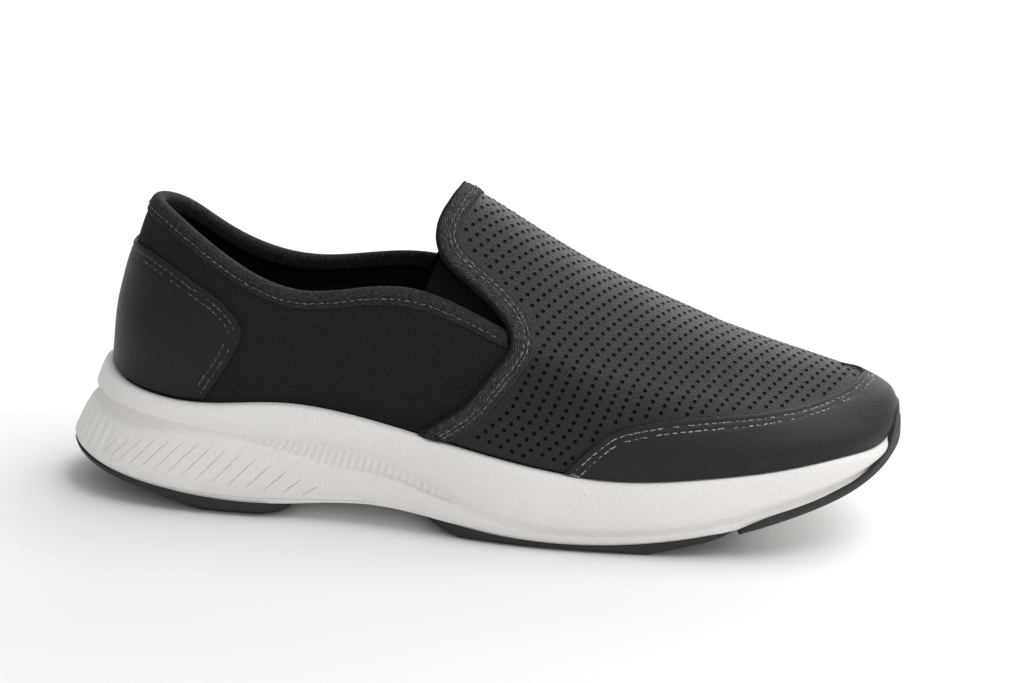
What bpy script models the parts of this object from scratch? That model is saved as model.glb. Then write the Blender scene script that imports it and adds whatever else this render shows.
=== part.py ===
"""Slip-on shoe, right foot, as an assembly of sole, upper, overlays and insole. Metres, +Z up, toe at +X."""

import math

import bmesh
import bpy
import numpy as np

# Driving sizes
LENGTH = 0.300
BALL_HALF = 0.052
STACK = 0.045
COLLAR_RISE = 0.061
INSTEP_RISE = 0.080
GAP = 0.0003
LAYER_GAP = 0.0006

# Sole sizes
RIM_WIDTH = 0.0026
RIM_ROUND = 0.0009
STEP_DEPTH = 0.0009
BAND_BULGE = 0.0010
CREASE_REACH = 0.0030
CREASE_LEAST = 0.0012
CREASE_TURN = 0.0006
LOW_EDGE_INSET = 0.0005
TREAD_TUCK = 0.0020
INSOLE_THICK = 0.0040
INSOLE_ROUND = 0.0015
PAD_LEAST = 0.0015
PAD_SLOPE = 0.0010
BUMPER_THICK = 0.0021
BUMPER_LIP = 0.0035
RIB_PITCH = 0.0032
RIB_DEPTH = 0.0007
SLOT_WIDTH = 0.0008
SLOT_DEPTH = 0.0009
SLOT_START = 0.0045
SLOT_RISE = 0.0120
SLOT_COUNT = 21

# Upper sizes: each layer lies between two lifts from the form, which is the outer face of the vamp
VAMP_THICK = 0.0011
WALL = 0.0020
OVERLAY_THICK = 0.0010
TAPE_WIDTH = 0.0066
COLLAR_HEIGHT = 0.0066
COLLAR_PROUD = 0.0007
COLLAR_PAD_HEEL = 0.0050
COLLAR_PAD_FRONT = 0.0030
GORE_THICK = 0.0010
BELLY_DEPTH = 0.0040

WALL_OUT = -VAMP_THICK - LAYER_GAP
WALL_IN = WALL_OUT - WALL

# Sections: one row for each station from the heel (0) to the toe (12), in shares of the sizes above.
# along: share of LENGTH. lateral, medial: shares of BALL_HALF. height: share of STACK.
FEATHER = {
    "along": (0.045, 0.059, 0.103, 0.177, 0.273, 0.390, 0.510, 0.633, 0.743, 0.838, 0.913, 0.960, 0.975),
    "lateral": (0.00, 0.31, 0.53, 0.635, 0.663, 0.74, 0.885, 0.950, 0.925, 0.80, 0.575, 0.26, -0.077),
    "medial": (0.00, 0.31, 0.52, 0.615, 0.60, 0.567, 0.654, 0.846, 0.933, 0.865, 0.70, 0.43, 0.077),
    "height": (0.99, 0.94, 0.88, 0.865, 0.915, 0.815, 0.675, 0.583, 0.63, 0.70, 0.76, 0.79, 0.91),
}
FLARE = {
    "along": (0.000, 0.018, 0.065, 0.145, 0.253, 0.377, 0.510, 0.640, 0.757, 0.853, 0.929, 0.971, 0.986),
    "lateral": (0.00, 0.35, 0.60, 0.735, 0.76, 0.795, 0.950, 1.0, 0.950, 0.795, 0.53, 0.21, -0.077),
    "medial": (0.00, 0.35, 0.595, 0.72, 0.70, 0.645, 0.72, 0.915, 0.985, 0.90, 0.685, 0.39, 0.077),
    "height": (0.37, 0.355, 0.32, 0.277, 0.255, 0.265, 0.150, 0.125, 0.225, 0.375, 0.525, 0.64, 0.71),
}
# crease: line under the rim. tread: underside of the foam. ground: underside of the rubber. floor: cup floor.
LEVELS = {
    "crease": (0.80, 0.79, 0.755, 0.71, 0.672, 0.560, 0.255, 0.19, 0.29, 0.44, 0.58, 0.69, 0.76),
    "tread": (0.315, 0.290, 0.215, 0.130, 0.092, 0.158, 0.062, 0.052, 0.158, 0.316, 0.472, 0.61, 0.68),
    "ground": (0.265, 0.235, 0.155, 0.040, -0.06, 0.085, -0.045, -0.06, 0.105, 0.262, 0.420, 0.56, 0.62),
    "floor": (0.69, 0.69, 0.68, 0.667, 0.655, 0.61, 0.52, 0.425, 0.41, 0.45, 0.55, 0.63, 0.665),
}
# Collar line over the quarters, shoulder line over the vamp. rise: share of COLLAR_RISE over the feather line.
SHOULDER = {
    "along": (0.089, 0.098, 0.131, 0.188, 0.280, 0.393, 0.507, 0.613, 0.713, 0.800, 0.874, 0.942, 0.965),
    "lateral": (0.00, 0.175, 0.375, 0.54, 0.655, 0.665, 0.72, 0.76, 0.69, 0.595, 0.425, 0.19, -0.077),
    "medial": (0.00, 0.175, 0.375, 0.53, 0.645, 0.655, 0.675, 0.73, 0.73, 0.67, 0.54, 0.34, 0.077),
    "lateral_rise": (1.00, 1.03, 1.01, 0.86, 0.67, 0.805, 0.737, 0.612, 0.460, 0.335, 0.258, 0.225, 0.145),
    "medial_rise": (1.00, 1.02, 0.967, 0.774, 0.607, 0.734, 0.735, 0.653, 0.501, 0.360, 0.275, 0.225, 0.145),
}
# Ridge over the instep. rise: share of INSTEP_RISE above the feather line. belly: share of BELLY_DEPTH.
RIDGE = {
    "along": (0.167, 0.173, 0.200, 0.250, 0.327, 0.427, 0.507, 0.607, 0.707, 0.793, 0.860, 0.897, 0.907),
    "medial": (0.0, 0.0, 0.0, 0.0, 0.01, 0.02, 0.04, 0.058, 0.077, 0.077, 0.077, 0.077, 0.077),
    "rise": (0.92, 0.93, 0.95, 1.00, 0.99, 1.000, 0.943, 0.784, 0.597, 0.441, 0.336, 0.284, 0.208),
    "belly": (0.775, 0.775, 0.775, 0.60, 0.40, 0.40, 0.65, 0.90, 1.00, 1.00, 0.90, 0.75, 0.50),
}
TOE = 12
LOOP = 2 * TOE
SHARP_ANGLE = 40
V_BELLY = 0.25
V_COLLAR = 0.55
BELLY_AT = 0.42
TOP_FULLNESS = 1.0

# Rear edge of the vamp: up: share of the way from the feather line to the ridge. along: share of LENGTH.
VAMP_EDGE = {
    "up": (
        0.0, 0.05, 0.13, 0.20, 0.29, 0.38, 0.44, 0.50, 0.55, 0.588, 0.618, 0.64,
        0.663, 0.688, 0.725, 0.765, 0.82, 0.875, 0.92, 0.96, 1.0,
    ),
    "along": (
        0.418, 0.435, 0.457, 0.474, 0.490, 0.506, 0.516, 0.523, 0.521, 0.511, 0.493, 0.470,
        0.449, 0.438, 0.431, 0.430, 0.434, 0.441, 0.446, 0.450, 0.452,
    ),
    "medial_along": (
        0.418, 0.435, 0.457, 0.474, 0.490, 0.506, 0.516, 0.523, 0.521, 0.511, 0.493, 0.472,
        0.455, 0.447, 0.443, 0.445, 0.449, 0.452, 0.453, 0.453, 0.452,
    ),
}
EDGE_ROWS = (0.0, 0.08, 0.17, 0.27, 0.37, 0.46, 0.53, 0.588, 0.63, 0.665, 0.705, 0.765, 0.84, 0.92, 1.0)
# Rear edge of the toe cap: station: number of the section. up: as above.
CAP_EDGE = {
    "station": (6.66, 6.90, 7.15, 7.50, 8.20, 9.20, 9.90, 10.60, 11.20, 12.0),
    "up": (0.01, 0.16, 0.27, 0.335, 0.405, 0.475, 0.53, 0.645, 0.75, 0.79),
}
# Outline of the heel counter: station of its front edge, and height of its top, for each share of the way.
COUNTER_REACH = {
    "share": (0.0, 0.36, 0.62, 0.80, 0.92, 1.0),
    "station": (2.91, 3.15, 3.28, 3.33, 3.29, 3.16),
}
COUNTER_TOP = {
    "share": (0.0, 0.25, 0.50, 0.85, 0.95, 1.0),
    "up": (0.385, 0.395, 0.405, 0.402, 0.394, 0.380),
}
# Ribbed band in the side of the midsole, lateral side. along: share of LENGTH.
# height: its lower line, in shares of STACK.
BAND = {
    "along": (0.185, 0.233, 0.273, 0.313, 0.353, 0.393, 0.423, 0.480),
    "height": (0.64, 0.575, 0.515, 0.45, 0.435, 0.405, 0.35, 0.26),
}
BAND_DEPTH = 0.0012
# Slots at the heel: first and last station, and how far each leans forward, in stations.
SLOT_FIRST = -1.2
SLOT_LAST = 4.05
SLOT_LEAN = 0.38
# Line where the toe rubber ends on the side. along: share of LENGTH. height: share of STACK.
TOE_RUBBER = {
    "along": (0.812, 0.835, 0.867, 0.905, 0.937, 0.958, 0.970, 0.975, 0.976),
    "height": (0.21, 0.262, 0.335, 0.432, 0.54, 0.645, 0.75, 0.87, 1.20),
}
# Rubber pads: stations of both ends, and stations of the grooves across the tread.
HEEL_PAD = {"ends": (0.15, 4.25), "grooves": (1.55, 3.75)}
BALL_PAD = {"ends": (5.55, 8.42), "grooves": (6.35, 7.65, 8.05)}
GROOVE_WIDTH = 0.0026
GROOVE_DEPTH = 0.0009
GROOVE_EDGE = 0.009
PAD_ROUNDING = 0.28
# Stations of the vee, where the collar meets the vamp, and of the throat of the hidden wall under the flap.
VEE_STATION = 6.18
THROAT_STATION = 6.75
# How far, in stations, the gores reach under the wall at the throat, and the lining stays clear of its edges.
GORE_OVERLAP = 0.08
LINING_INSET = 0.04
# Height share at which the overlays start, just clear of the sole.
SOLE_CLEAR = 0.014


for leftover in list(bpy.data.objects):
    bpy.data.objects.remove(leftover)


def collection(name):
    made = bpy.data.collections.new(name)
    bpy.context.scene.collection.children.link(made)
    return made


def material(name, colour, roughness):
    made = bpy.data.materials.new(name)
    made.use_nodes = True
    shader = made.node_tree.nodes["Principled BSDF"]
    shader.inputs["Base Color"].default_value = (*colour, 1)
    shader.inputs["Roughness"].default_value = roughness
    shader.inputs["Metallic"].default_value = 0
    return made


PARTS = collection("slip_on_shoe")
CUTTERS = collection("cutters")
FOAM = material("white_foam", (0.78, 0.76, 0.74), 0.6)
RUBBER = material("black_rubber", (0.03, 0.03, 0.03), 0.6)
LINING = material("black_lining", (0.01, 0.01, 0.01), 0.9)
TEXTILE = material("twill_textile", (0.02, 0.02, 0.02), 0.85)
PERFORATED = material("perforated_leather", (0.06, 0.058, 0.055), 0.65)
LEATHER = material("smooth_leather", (0.05, 0.048, 0.046), 0.55)
WEBBING = material("stitched_tape", (0.06, 0.06, 0.055), 0.8)
PADDING = material("padded_binding", (0.04, 0.04, 0.038), 0.8)
ELASTIC = material("black_elastic", (0.008, 0.008, 0.008), 0.9)


def spline_slopes(values, closed):
    """Slopes at the knots of a smooth curve through values that lie one step apart."""
    count = len(values)
    matrix = np.zeros((count, count))
    right = np.zeros((count,) + values.shape[1:])
    for row in range(count):
        before, after = row - 1, row + 1
        if closed:
            before, after = before % count, after % count
        elif row == 0 or row == count - 1:
            inner = after if row == 0 else before
            matrix[row, row], matrix[row, inner] = 2, 1
            right[row] = 3 * (values[inner] - values[row]) * (1 if row == 0 else -1)
            continue
        matrix[row, before] += 1
        matrix[row, row] += 4
        matrix[row, after] += 1
        right[row] = 3 * (values[after] - values[before])
    return np.linalg.solve(matrix, right)


class Curve:
    """Smooth curve through rows one step apart, open or closed."""

    def __init__(self, rows, closed=False):
        self.rows = np.asarray(rows, float)
        self.closed = closed
        self.slopes = spline_slopes(self.rows, closed)

    def __call__(self, at):
        at = np.asarray(at, float)
        count = len(self.rows)
        if self.closed:
            at = at % count
            first = np.floor(at).astype(int) % count
            second = (first + 1) % count
        else:
            at = np.clip(at, 0, count - 1)
            first = np.minimum(np.floor(at).astype(int), count - 2)
            second = first + 1
        share = (at - first)[..., None] if self.rows.ndim > 1 else at - first
        rest = 1 - share
        return (
            rest * rest * (1 + 2 * share) * self.rows[first]
            + share * share * (3 - 2 * share) * self.rows[second]
            + share * rest * rest * self.slopes[first]
            - share * share * rest * self.slopes[second]
        )


def table_curve(keys, values):
    """Function through the rows of a table: smooth, with no overshoot between rows."""
    keys = np.asarray(keys, float)
    values = np.asarray(values, float)
    steps = np.diff(values) / np.diff(keys)
    slopes = np.concatenate([[steps[0]], (steps[1:] + steps[:-1]) / 2, [steps[-1]]])
    slopes[1:-1][steps[1:] * steps[:-1] <= 0] = 0

    def value(at):
        at = np.clip(np.asarray(at, float), keys[0], keys[-1])
        first = np.clip(np.searchsorted(keys, at, side="right") - 1, 0, len(keys) - 2)
        width = keys[first + 1] - keys[first]
        share = (at - keys[first]) / width
        rest = 1 - share
        return (
            rest * rest * (1 + 2 * share) * values[first]
            + share * share * (3 - 2 * share) * values[first + 1]
            + share * rest * rest * slopes[first] * width
            - share * share * rest * slopes[first + 1] * width
        )

    return value


def around(along, lateral, medial, lateral_height, medial_height):
    """Closed guide loop: lateral side from heel to toe, then medial side back to the heel."""
    near = [(a, -b, c) for a, b, c in zip(along, lateral, lateral_height)]
    far = [(a, b, c) for a, b, c in zip(along, medial, medial_height)]
    return Curve(near + far[-2:0:-1], closed=True)


def shares(values, size):
    return np.asarray(values, float) * size


def along_axis(values):
    return (np.asarray(values, float) - 0.5) * LENGTH


def sole_loop(table, height):
    return around(
        along_axis(table["along"]),
        shares(table["lateral"], BALL_HALF),
        shares(table["medial"], BALL_HALF),
        height,
        height,
    )


feather_height = shares(FEATHER["height"], STACK)
FEATHER_LOOP = sole_loop(FEATHER, feather_height)
FLARE_LOOP = sole_loop(FLARE, shares(FLARE["height"], STACK))
SHOULDER_LOOP = around(
    along_axis(SHOULDER["along"]),
    shares(SHOULDER["lateral"], BALL_HALF),
    shares(SHOULDER["medial"], BALL_HALF),
    feather_height + shares(SHOULDER["lateral_rise"], COLLAR_RISE),
    feather_height + shares(SHOULDER["medial_rise"], COLLAR_RISE),
)
ridge_height = feather_height + shares(RIDGE["rise"], INSTEP_RISE)
RIDGE_LOOP = around(
    along_axis(RIDGE["along"]),
    -shares(RIDGE["medial"], BALL_HALF),
    shares(RIDGE["medial"], BALL_HALF),
    ridge_height,
    ridge_height,
)


def mirrored(values):
    """Column of a table as a closed loop, the same on both sides."""
    values = list(values)
    return Curve(values + values[-2:0:-1], closed=True)


BELLY = mirrored(shares(RIDGE["belly"], BELLY_DEPTH))
CREASE = mirrored(shares(LEVELS["crease"], STACK))
TREAD = mirrored(shares(LEVELS["tread"], STACK))
GROUND = mirrored(shares(LEVELS["ground"], STACK))
FLOOR = mirrored(shares(LEVELS["floor"], STACK))


def loop_outward(loop, at):
    """Level unit vector that points out of a guide loop."""
    step = 0.02
    run = loop(at + step) - loop(at - step)
    out = np.stack([run[..., 1], -run[..., 0], np.zeros_like(run[..., 0])], axis=-1)
    return out / np.linalg.norm(out, axis=-1, keepdims=True)


def unit(vectors):
    return vectors / np.maximum(np.linalg.norm(vectors, axis=-1, keepdims=True), 1e-12)


def form_base(at, up):
    """Point of the form on rib `at` of the loop; up runs from 0 at the feather line to 1 at the ridge."""
    at, up = np.broadcast_arrays(np.asarray(at, float), np.asarray(up, float))
    foot, shoulder, ridge = FEATHER_LOOP(at), SHOULDER_LOOP(at), RIDGE_LOOP(at)
    outward = loop_outward(FEATHER_LOOP, at)
    belly = foot + (shoulder - foot) * BELLY_AT + outward * BELLY(at)[..., None]
    step = 0.05
    ridge_run = RIDGE_LOOP(np.abs(TOE - at % LOOP) * -1 + TOE + step) - RIDGE_LOOP(
        np.abs(TOE - at % LOOP) * -1 + TOE - step
    )
    slope = ridge_run[..., 2] / np.where(np.abs(ridge_run[..., 0]) < 1e-6, -1e-6, ridge_run[..., 0])
    cross = ridge - shoulder
    cross[..., 2] = np.clip(slope, -0.9, 0.3) * cross[..., 0]
    reach = np.linalg.norm(ridge - shoulder, axis=-1, keepdims=True)
    top_slope = unit(cross) * reach * TOP_FULLNESS / (1 - V_COLLAR)
    knots = (0.0, V_BELLY, V_COLLAR, 1.0)
    points = (foot, belly, shoulder, ridge)
    slopes = (
        (belly - foot) / V_BELLY,
        (shoulder - foot) / V_COLLAR,
        (ridge - belly) / (1 - V_BELLY),
        top_slope,
    )
    result = np.zeros(at.shape + (3,))
    for i in range(3):
        width = knots[i + 1] - knots[i]
        inside = (up >= knots[i]) & (up <= knots[i + 1]) if i else up <= knots[1]
        share = np.clip((up - knots[i]) / width, 0, 1)[..., None]
        rest = 1 - share
        piece = (
            rest * rest * (1 + 2 * share) * points[i]
            + share * share * (3 - 2 * share) * points[i + 1]
            + share * rest * rest * slopes[i] * width
            - share * share * rest * slopes[i + 1] * width
        )
        result = np.where(inside[..., None], piece, result)
    return result


def side_normal(at, up):
    step = 0.02
    up = np.clip(up, step, 0.96)
    across = form_base(at + step, up) - form_base(at - step, up)
    rise = form_base(at, up + step) - form_base(at, up - step)
    return unit(np.cross(across, rise))


def form(at, up, lift=0.0):
    """Point at a lift from the form. Below the feather line the wall runs straight down into the cup."""
    at, up, lift = np.broadcast_arrays(np.asarray(at, float), np.asarray(up, float), np.asarray(lift, float))
    base = form_base(at, np.maximum(up, 0))
    normal = side_normal(at, np.maximum(up, 0))
    other = side_normal(LOOP - at, np.maximum(up, 0))
    normal = np.where((up > 0.97)[..., None], unit(normal + other), normal)
    level = loop_outward(FEATHER_LOOP, at)
    share = np.clip(up / 0.06, 0, 1)[..., None]
    normal = unit(normal * share + level * (1 - share))
    drop = np.minimum(up, 0) * (FEATHER_LOOP(at)[..., 2] - FLOOR(at) - GAP)
    base = base + np.stack([drop * 0, drop * 0, drop], axis=-1)
    return base + normal * lift[..., None]


def station_at(along, up, side=1):
    """Station of the rib that passes a distance along the shoe (share of LENGTH) at a height share."""
    stations = np.linspace(0, TOE, 241)
    places = stations if side > 0 else LOOP - stations
    found = [
        np.interp((a - 0.5) * LENGTH, form_base(places, np.full_like(places, u))[:, 0], stations)
        for a, u in zip(np.atleast_1d(along), np.atleast_1d(up))
    ]
    return np.array(found)


def new_object(name, mesh, surface):
    mesh.materials.append(surface)
    obj = bpy.data.objects.new(name, mesh)
    PARTS.objects.link(obj)
    mesh.shade_smooth()
    mesh.set_sharp_from_angle(angle=math.radians(SHARP_ANGLE))
    return obj


def as_cutter(obj):
    CUTTERS.objects.link(obj)
    obj.hide_render = True
    obj.display_type = "WIRE"
    return obj


def boolean(obj, cutter, operation):
    modifier = obj.modifiers.new(operation.lower() + "_" + cutter.name, "BOOLEAN")
    modifier.object = cutter
    modifier.operation = operation
    modifier.solver = "EXACT"


def solid_from(name, points, faces):
    """Mesh from points and faces, with its faces turned out."""
    mesh = bpy.data.meshes.new(name)
    work = bmesh.new()
    corners = [work.verts.new(p) for p in points]
    for face in faces:
        kept = [corners[i] for i in dict.fromkeys(face)]
        if len(kept) > 2:
            work.faces.new(kept)
    bmesh.ops.triangulate(work, faces=[f for f in work.faces if len(f.verts) > 4])
    bmesh.ops.recalc_face_normals(work, faces=work.faces)
    work.to_mesh(mesh)
    work.free()
    return mesh


def thicken(name, outer, inner, faces):
    """Closed sheet between two copies of one open surface."""
    count = len(outer)
    sides = {}
    for face in faces:
        face = list(dict.fromkeys(face))
        for a, b in zip(face, face[1:] + face[:1]):
            sides[(a, b)] = sides.get((a, b), 0) + 1
    border = [(a, b) for a, b in sides if (b, a) not in sides]
    both = list(faces)
    both += [tuple(i + count for i in reversed(face)) for face in faces]
    both += [(b, a, a + count, b + count) for a, b in border]
    return solid_from(name, np.concatenate([outer, inner]), both)


def grid_faces(rows, columns, start=0):
    faces = []
    for i in range(rows - 1):
        for j in range(columns - 1):
            a = start + i * columns + j
            faces.append((a, a + 1, a + columns + 1, a + columns))
    return faces


def patch(name, at, up, out, inn, surface):
    """Overlay: sheet over a grid of places on the form, between two lifts."""
    shape = at.shape
    outer = form(at, up, out).reshape(-1, 3)
    inner = form(at, up, inn).reshape(-1, 3)
    mesh = thicken(name, outer, inner, grid_faces(*shape))
    return new_object(name, mesh, surface)


def plain_stations():
    """Stations from heel to toe: close together round both ends, wider along the sides."""
    ends = np.linspace(0, 2, 7)
    return np.concatenate([ends, np.arange(2.5, TOE - 2.1, 0.5), TOE - ends[::-1]])


def side_places():
    """Stations around the sole. The ribbed band takes two for each rib."""
    first = station_at([BAND["along"][0]], [0.0])[0]
    last = station_at([BAND["along"][-1]], [0.0])[0]
    ribs = int(round((BAND["along"][-1] - BAND["along"][0]) * LENGTH / RIB_PITCH))
    plain = plain_stations()
    band = np.linspace(first, last, 2 * ribs + 1)
    return np.concatenate([plain[plain < first - 0.1], band, plain[plain > last + 0.1]])


def sole_rings(places, grow=0.0, ribbed=True):
    """Rings of the midsole's outer side, from the tread edge up to the rim."""
    flare, feather = FLARE_LOOP(places), FEATHER_LOOP(places)
    out = loop_outward(FLARE_LOOP, places)
    rim_out = loop_outward(FEATHER_LOOP, places)
    rim = feather + rim_out * RIM_WIDTH
    crease, tread = CREASE(places), TREAD(places)

    def on_side(height, proud):
        share = np.clip((height - flare[:, 2]) / (rim[:, 2] - flare[:, 2]), 0, 1)[:, None]
        point = flare + (rim - flare) * share
        point[:, 2] = height
        return point + out * (proud + grow)[:, None]

    zero = np.zeros(len(places))
    lateral = (places < TOE) & (places > 0)
    along = flare[:, 0] / LENGTH + 0.5
    line = table_curve(BAND["along"], BAND["height"])(along) * STACK
    inside = lateral & (along > BAND["along"][0]) & (along < BAND["along"][-1])
    lens = np.where(inside, np.clip((crease - line) / (0.14 * STACK), 0, 1), 0.0)
    phase = (along - BAND["along"][0]) * LENGTH / RIB_PITCH
    wave = np.where(inside, np.abs((phase % 1) - 0.5) * 2, 0) if ribbed else zero
    low = np.where(inside, np.minimum(line, crease - CREASE_LEAST), crease - CREASE_REACH)
    low = np.maximum(low, flare[:, 2] + CREASE_TURN)
    under = np.maximum(crease - CREASE_TURN, low + CREASE_TURN * 0.7)
    depth = STEP_DEPTH + (BAND_DEPTH - RIB_DEPTH * wave) * lens
    over = np.maximum(crease + CREASE_TURN * 0.8, under + CREASE_TURN)
    upper = (over + rim[:, 2]) / 2
    tucked = flare - out * TREAD_TUCK
    tucked[:, 2] = tread - grow
    bottom = tucked + out * grow
    low_edge = flare + out * (grow - LOW_EDGE_INSET)
    low_edge[:, 2] = tread + (flare[:, 2] - tread) * 0.35 - grow * 0.5
    rings = [bottom, low_edge, flare + out * grow]
    rings.append(on_side(low, zero - STEP_DEPTH * 0.3))
    rings.append(on_side(low + (under - low) * 0.12, -depth))
    rings.append(on_side(under, -depth))
    rings.append(on_side(over, zero + BAND_BULGE * 0.4))
    rings.append(on_side(upper, zero + BAND_BULGE))
    edge = rim.copy()
    edge[:, 2] -= RIM_ROUND
    rings.append(edge + rim_out * grow)
    return rings, feather, rim_out


def full_loop(lateral):
    """Stations of the whole loop from those of the lateral side, with plain steps on the medial side."""
    return np.concatenate([lateral, LOOP - plain_stations()[-2:0:-1]])


def cross_pairs(places):
    """Faces that close a loop with strips between its two sides, whose stations may differ."""
    count = len(places)
    lateral = [i for i in range(count) if places[i] <= TOE]
    medial = [0] + [i for i in range(count - 1, -1, -1) if places[i] > TOE] + [lateral[-1]]
    faces = []
    i = j = 0
    while i < len(lateral) - 1 or j < len(medial) - 1:
        here, there = lateral[i], medial[j]
        next_here = places[lateral[i + 1]] if i < len(lateral) - 1 else 99
        if j < len(medial) - 1:
            index = medial[j + 1]
            next_there = LOOP - places[index] if places[index] > TOE else places[index]
        else:
            next_there = 99
        if next_here <= next_there:
            i += 1
            faces.append((here, lateral[i], there))
        else:
            j += 1
            faces.append((here, medial[j], there))
    return [face for face in faces if len(set(face)) == 3]


def ring_solid(name, rings, places):
    """Closed solid from a stack of rings around the loop; the first and the last are closed across."""
    count = len(places)
    faces = []
    for level in range(len(rings) - 1):
        for i in range(count):
            j = (i + 1) % count
            a = level * count
            faces.append((a + i, a + j, a + count + j, a + count + i))
    last = (len(rings) - 1) * count
    closing = cross_pairs(places)
    faces += [tuple(reversed(face)) for face in closing]
    faces += [tuple(i + last for i in face) for face in closing]
    return solid_from(name, np.concatenate(rings), faces)


def side_point(at, height):
    """Point of the midsole's side on a rib, between the flare and the rim."""
    flare = FLARE_LOOP(at)
    rim = FEATHER_LOOP(at) + loop_outward(FEATHER_LOOP, at) * RIM_WIDTH
    share = (height - flare[..., 2]) / (rim[..., 2] - flare[..., 2])
    point = flare + (rim - flare) * np.clip(share, 0, 1)[..., None]
    point[..., 2] = height
    return point


def box_between(work, low, high, out, width, depth):
    """Adds a slim box to a mesh, from one point to another, half sunk below the surface that `out` leaves."""
    run = unit(high - low)
    across = unit(np.cross(run, out)) * width / 2
    deep = unit(np.cross(across, run)) * depth
    if np.dot(deep, out) < 0:
        deep = -deep
    corners = []
    for base in (low, high):
        for side in (-1, 1):
            for level in (-1, 1.5):
                corners.append(work.verts.new(base + across * side + deep * level))
    quads = ((0, 1, 3, 2), (4, 6, 7, 5), (0, 4, 5, 1), (2, 3, 7, 6), (0, 2, 6, 4), (1, 5, 7, 3))
    for quad in quads:
        work.faces.new([corners[i] for i in quad])


def heel_slots():
    """Cutter: slanted slots round the heel flare, closer to upright behind it."""
    work = bmesh.new()
    for number in range(SLOT_COUNT):
        share = number / (SLOT_COUNT - 1)
        at = SLOT_FIRST + (SLOT_LAST - SLOT_FIRST) * share
        back = max(0.0, 1 - abs(at) / 1.4)
        lean = SLOT_LEAN * (1 - 0.6 * back) * (1 if at > 0 else -1 if at < -0.4 else 0)
        shrink = 1 - 0.45 * max(0.0, share - 0.75) / 0.25
        low_height = float(TREAD(at)) + SLOT_START
        high_height = low_height + SLOT_RISE * shrink
        low = side_point(np.array(at), np.array(low_height))
        high = side_point(np.array(at + lean * shrink), np.array(high_height))
        out = loop_outward(FLARE_LOOP, np.array(at))
        width = SLOT_WIDTH * (1 + back)
        box_between(work, low, high, out, width, SLOT_DEPTH)
    mesh = bpy.data.meshes.new("heel_slots")
    bmesh.ops.recalc_face_normals(work, faces=work.faces)
    work.to_mesh(mesh)
    work.free()
    return as_cutter(bpy.data.objects.new("heel_slots", mesh))


def midsole():
    places = full_loop(side_places())
    rings, feather, rim_out = sole_rings(places)
    top = feather + rim_out * (RIM_WIDTH - RIM_ROUND)
    inner = feather + rim_out * (WALL_OUT + GAP)
    floor = inner.copy()
    floor[:, 2] = FLOOR(places)
    mesh = ring_solid("midsole", rings + [top, inner, floor], places)
    obj = new_object("midsole", mesh, FOAM)
    boolean(obj, heel_slots(), "DIFFERENCE")
    return obj


def sole_form(name, grow, rise):
    """Plain outer form of the midsole, enlarged, with a lip above its rim."""
    places = full_loop(plain_stations())
    rings = sole_rings(places, grow, ribbed=False)[0]
    lip = rings[-1].copy()
    lip[:, 2] += RIM_ROUND + rise
    mesh = ring_solid(name, rings + [lip], places)
    obj = bpy.data.objects.new(name, mesh)
    return as_cutter(obj)


def side_prism(name, outline, half_width):
    """Cutter: an outline in the XZ plane, drawn across the whole width."""
    count = len(outline)
    points = [(x, -half_width, z) for x, z in outline] + [(x, half_width, z) for x, z in outline]
    faces = [tuple(range(count)), tuple(reversed(range(count, 2 * count)))]
    faces += [(i, (i + 1) % count, (i + 1) % count + count, i + count) for i in range(count)]
    mesh = bpy.data.meshes.new(name)
    work = bmesh.new()
    corners = [work.verts.new(p) for p in points]
    for face in faces:
        work.faces.new([corners[i] for i in face])
    bmesh.ops.recalc_face_normals(work, faces=work.faces)
    work.to_mesh(mesh)
    work.free()
    return as_cutter(bpy.data.objects.new(name, mesh))


def outsole_toe():
    outer = sole_form("toe_rubber_outer", BUMPER_THICK + LAYER_GAP, BUMPER_LIP)
    inner = sole_form("toe_rubber_inner", LAYER_GAP, BUMPER_LIP * 4)
    mesh = outer.data.copy()
    obj = new_object("outsole_toe", mesh, RUBBER)
    outline = [(x, z) for x, z in zip(along_axis(TOE_RUBBER["along"]), shares(TOE_RUBBER["height"], STACK))]
    outline += [(LENGTH * 0.6, STACK * 1.2), (LENGTH * 0.6, -STACK * 0.5), (outline[0][0], -STACK * 0.5)]
    region = side_prism("toe_rubber_region", outline, BALL_HALF * 1.5)
    boolean(obj, inner, "DIFFERENCE")
    boolean(obj, region, "INTERSECT")
    return obj


def inset_tread(at):
    """Point of the tread edge on a rib, tucked in from the flare."""
    return FLARE_LOOP(at) - loop_outward(FLARE_LOOP, at) * TREAD_TUCK


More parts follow.
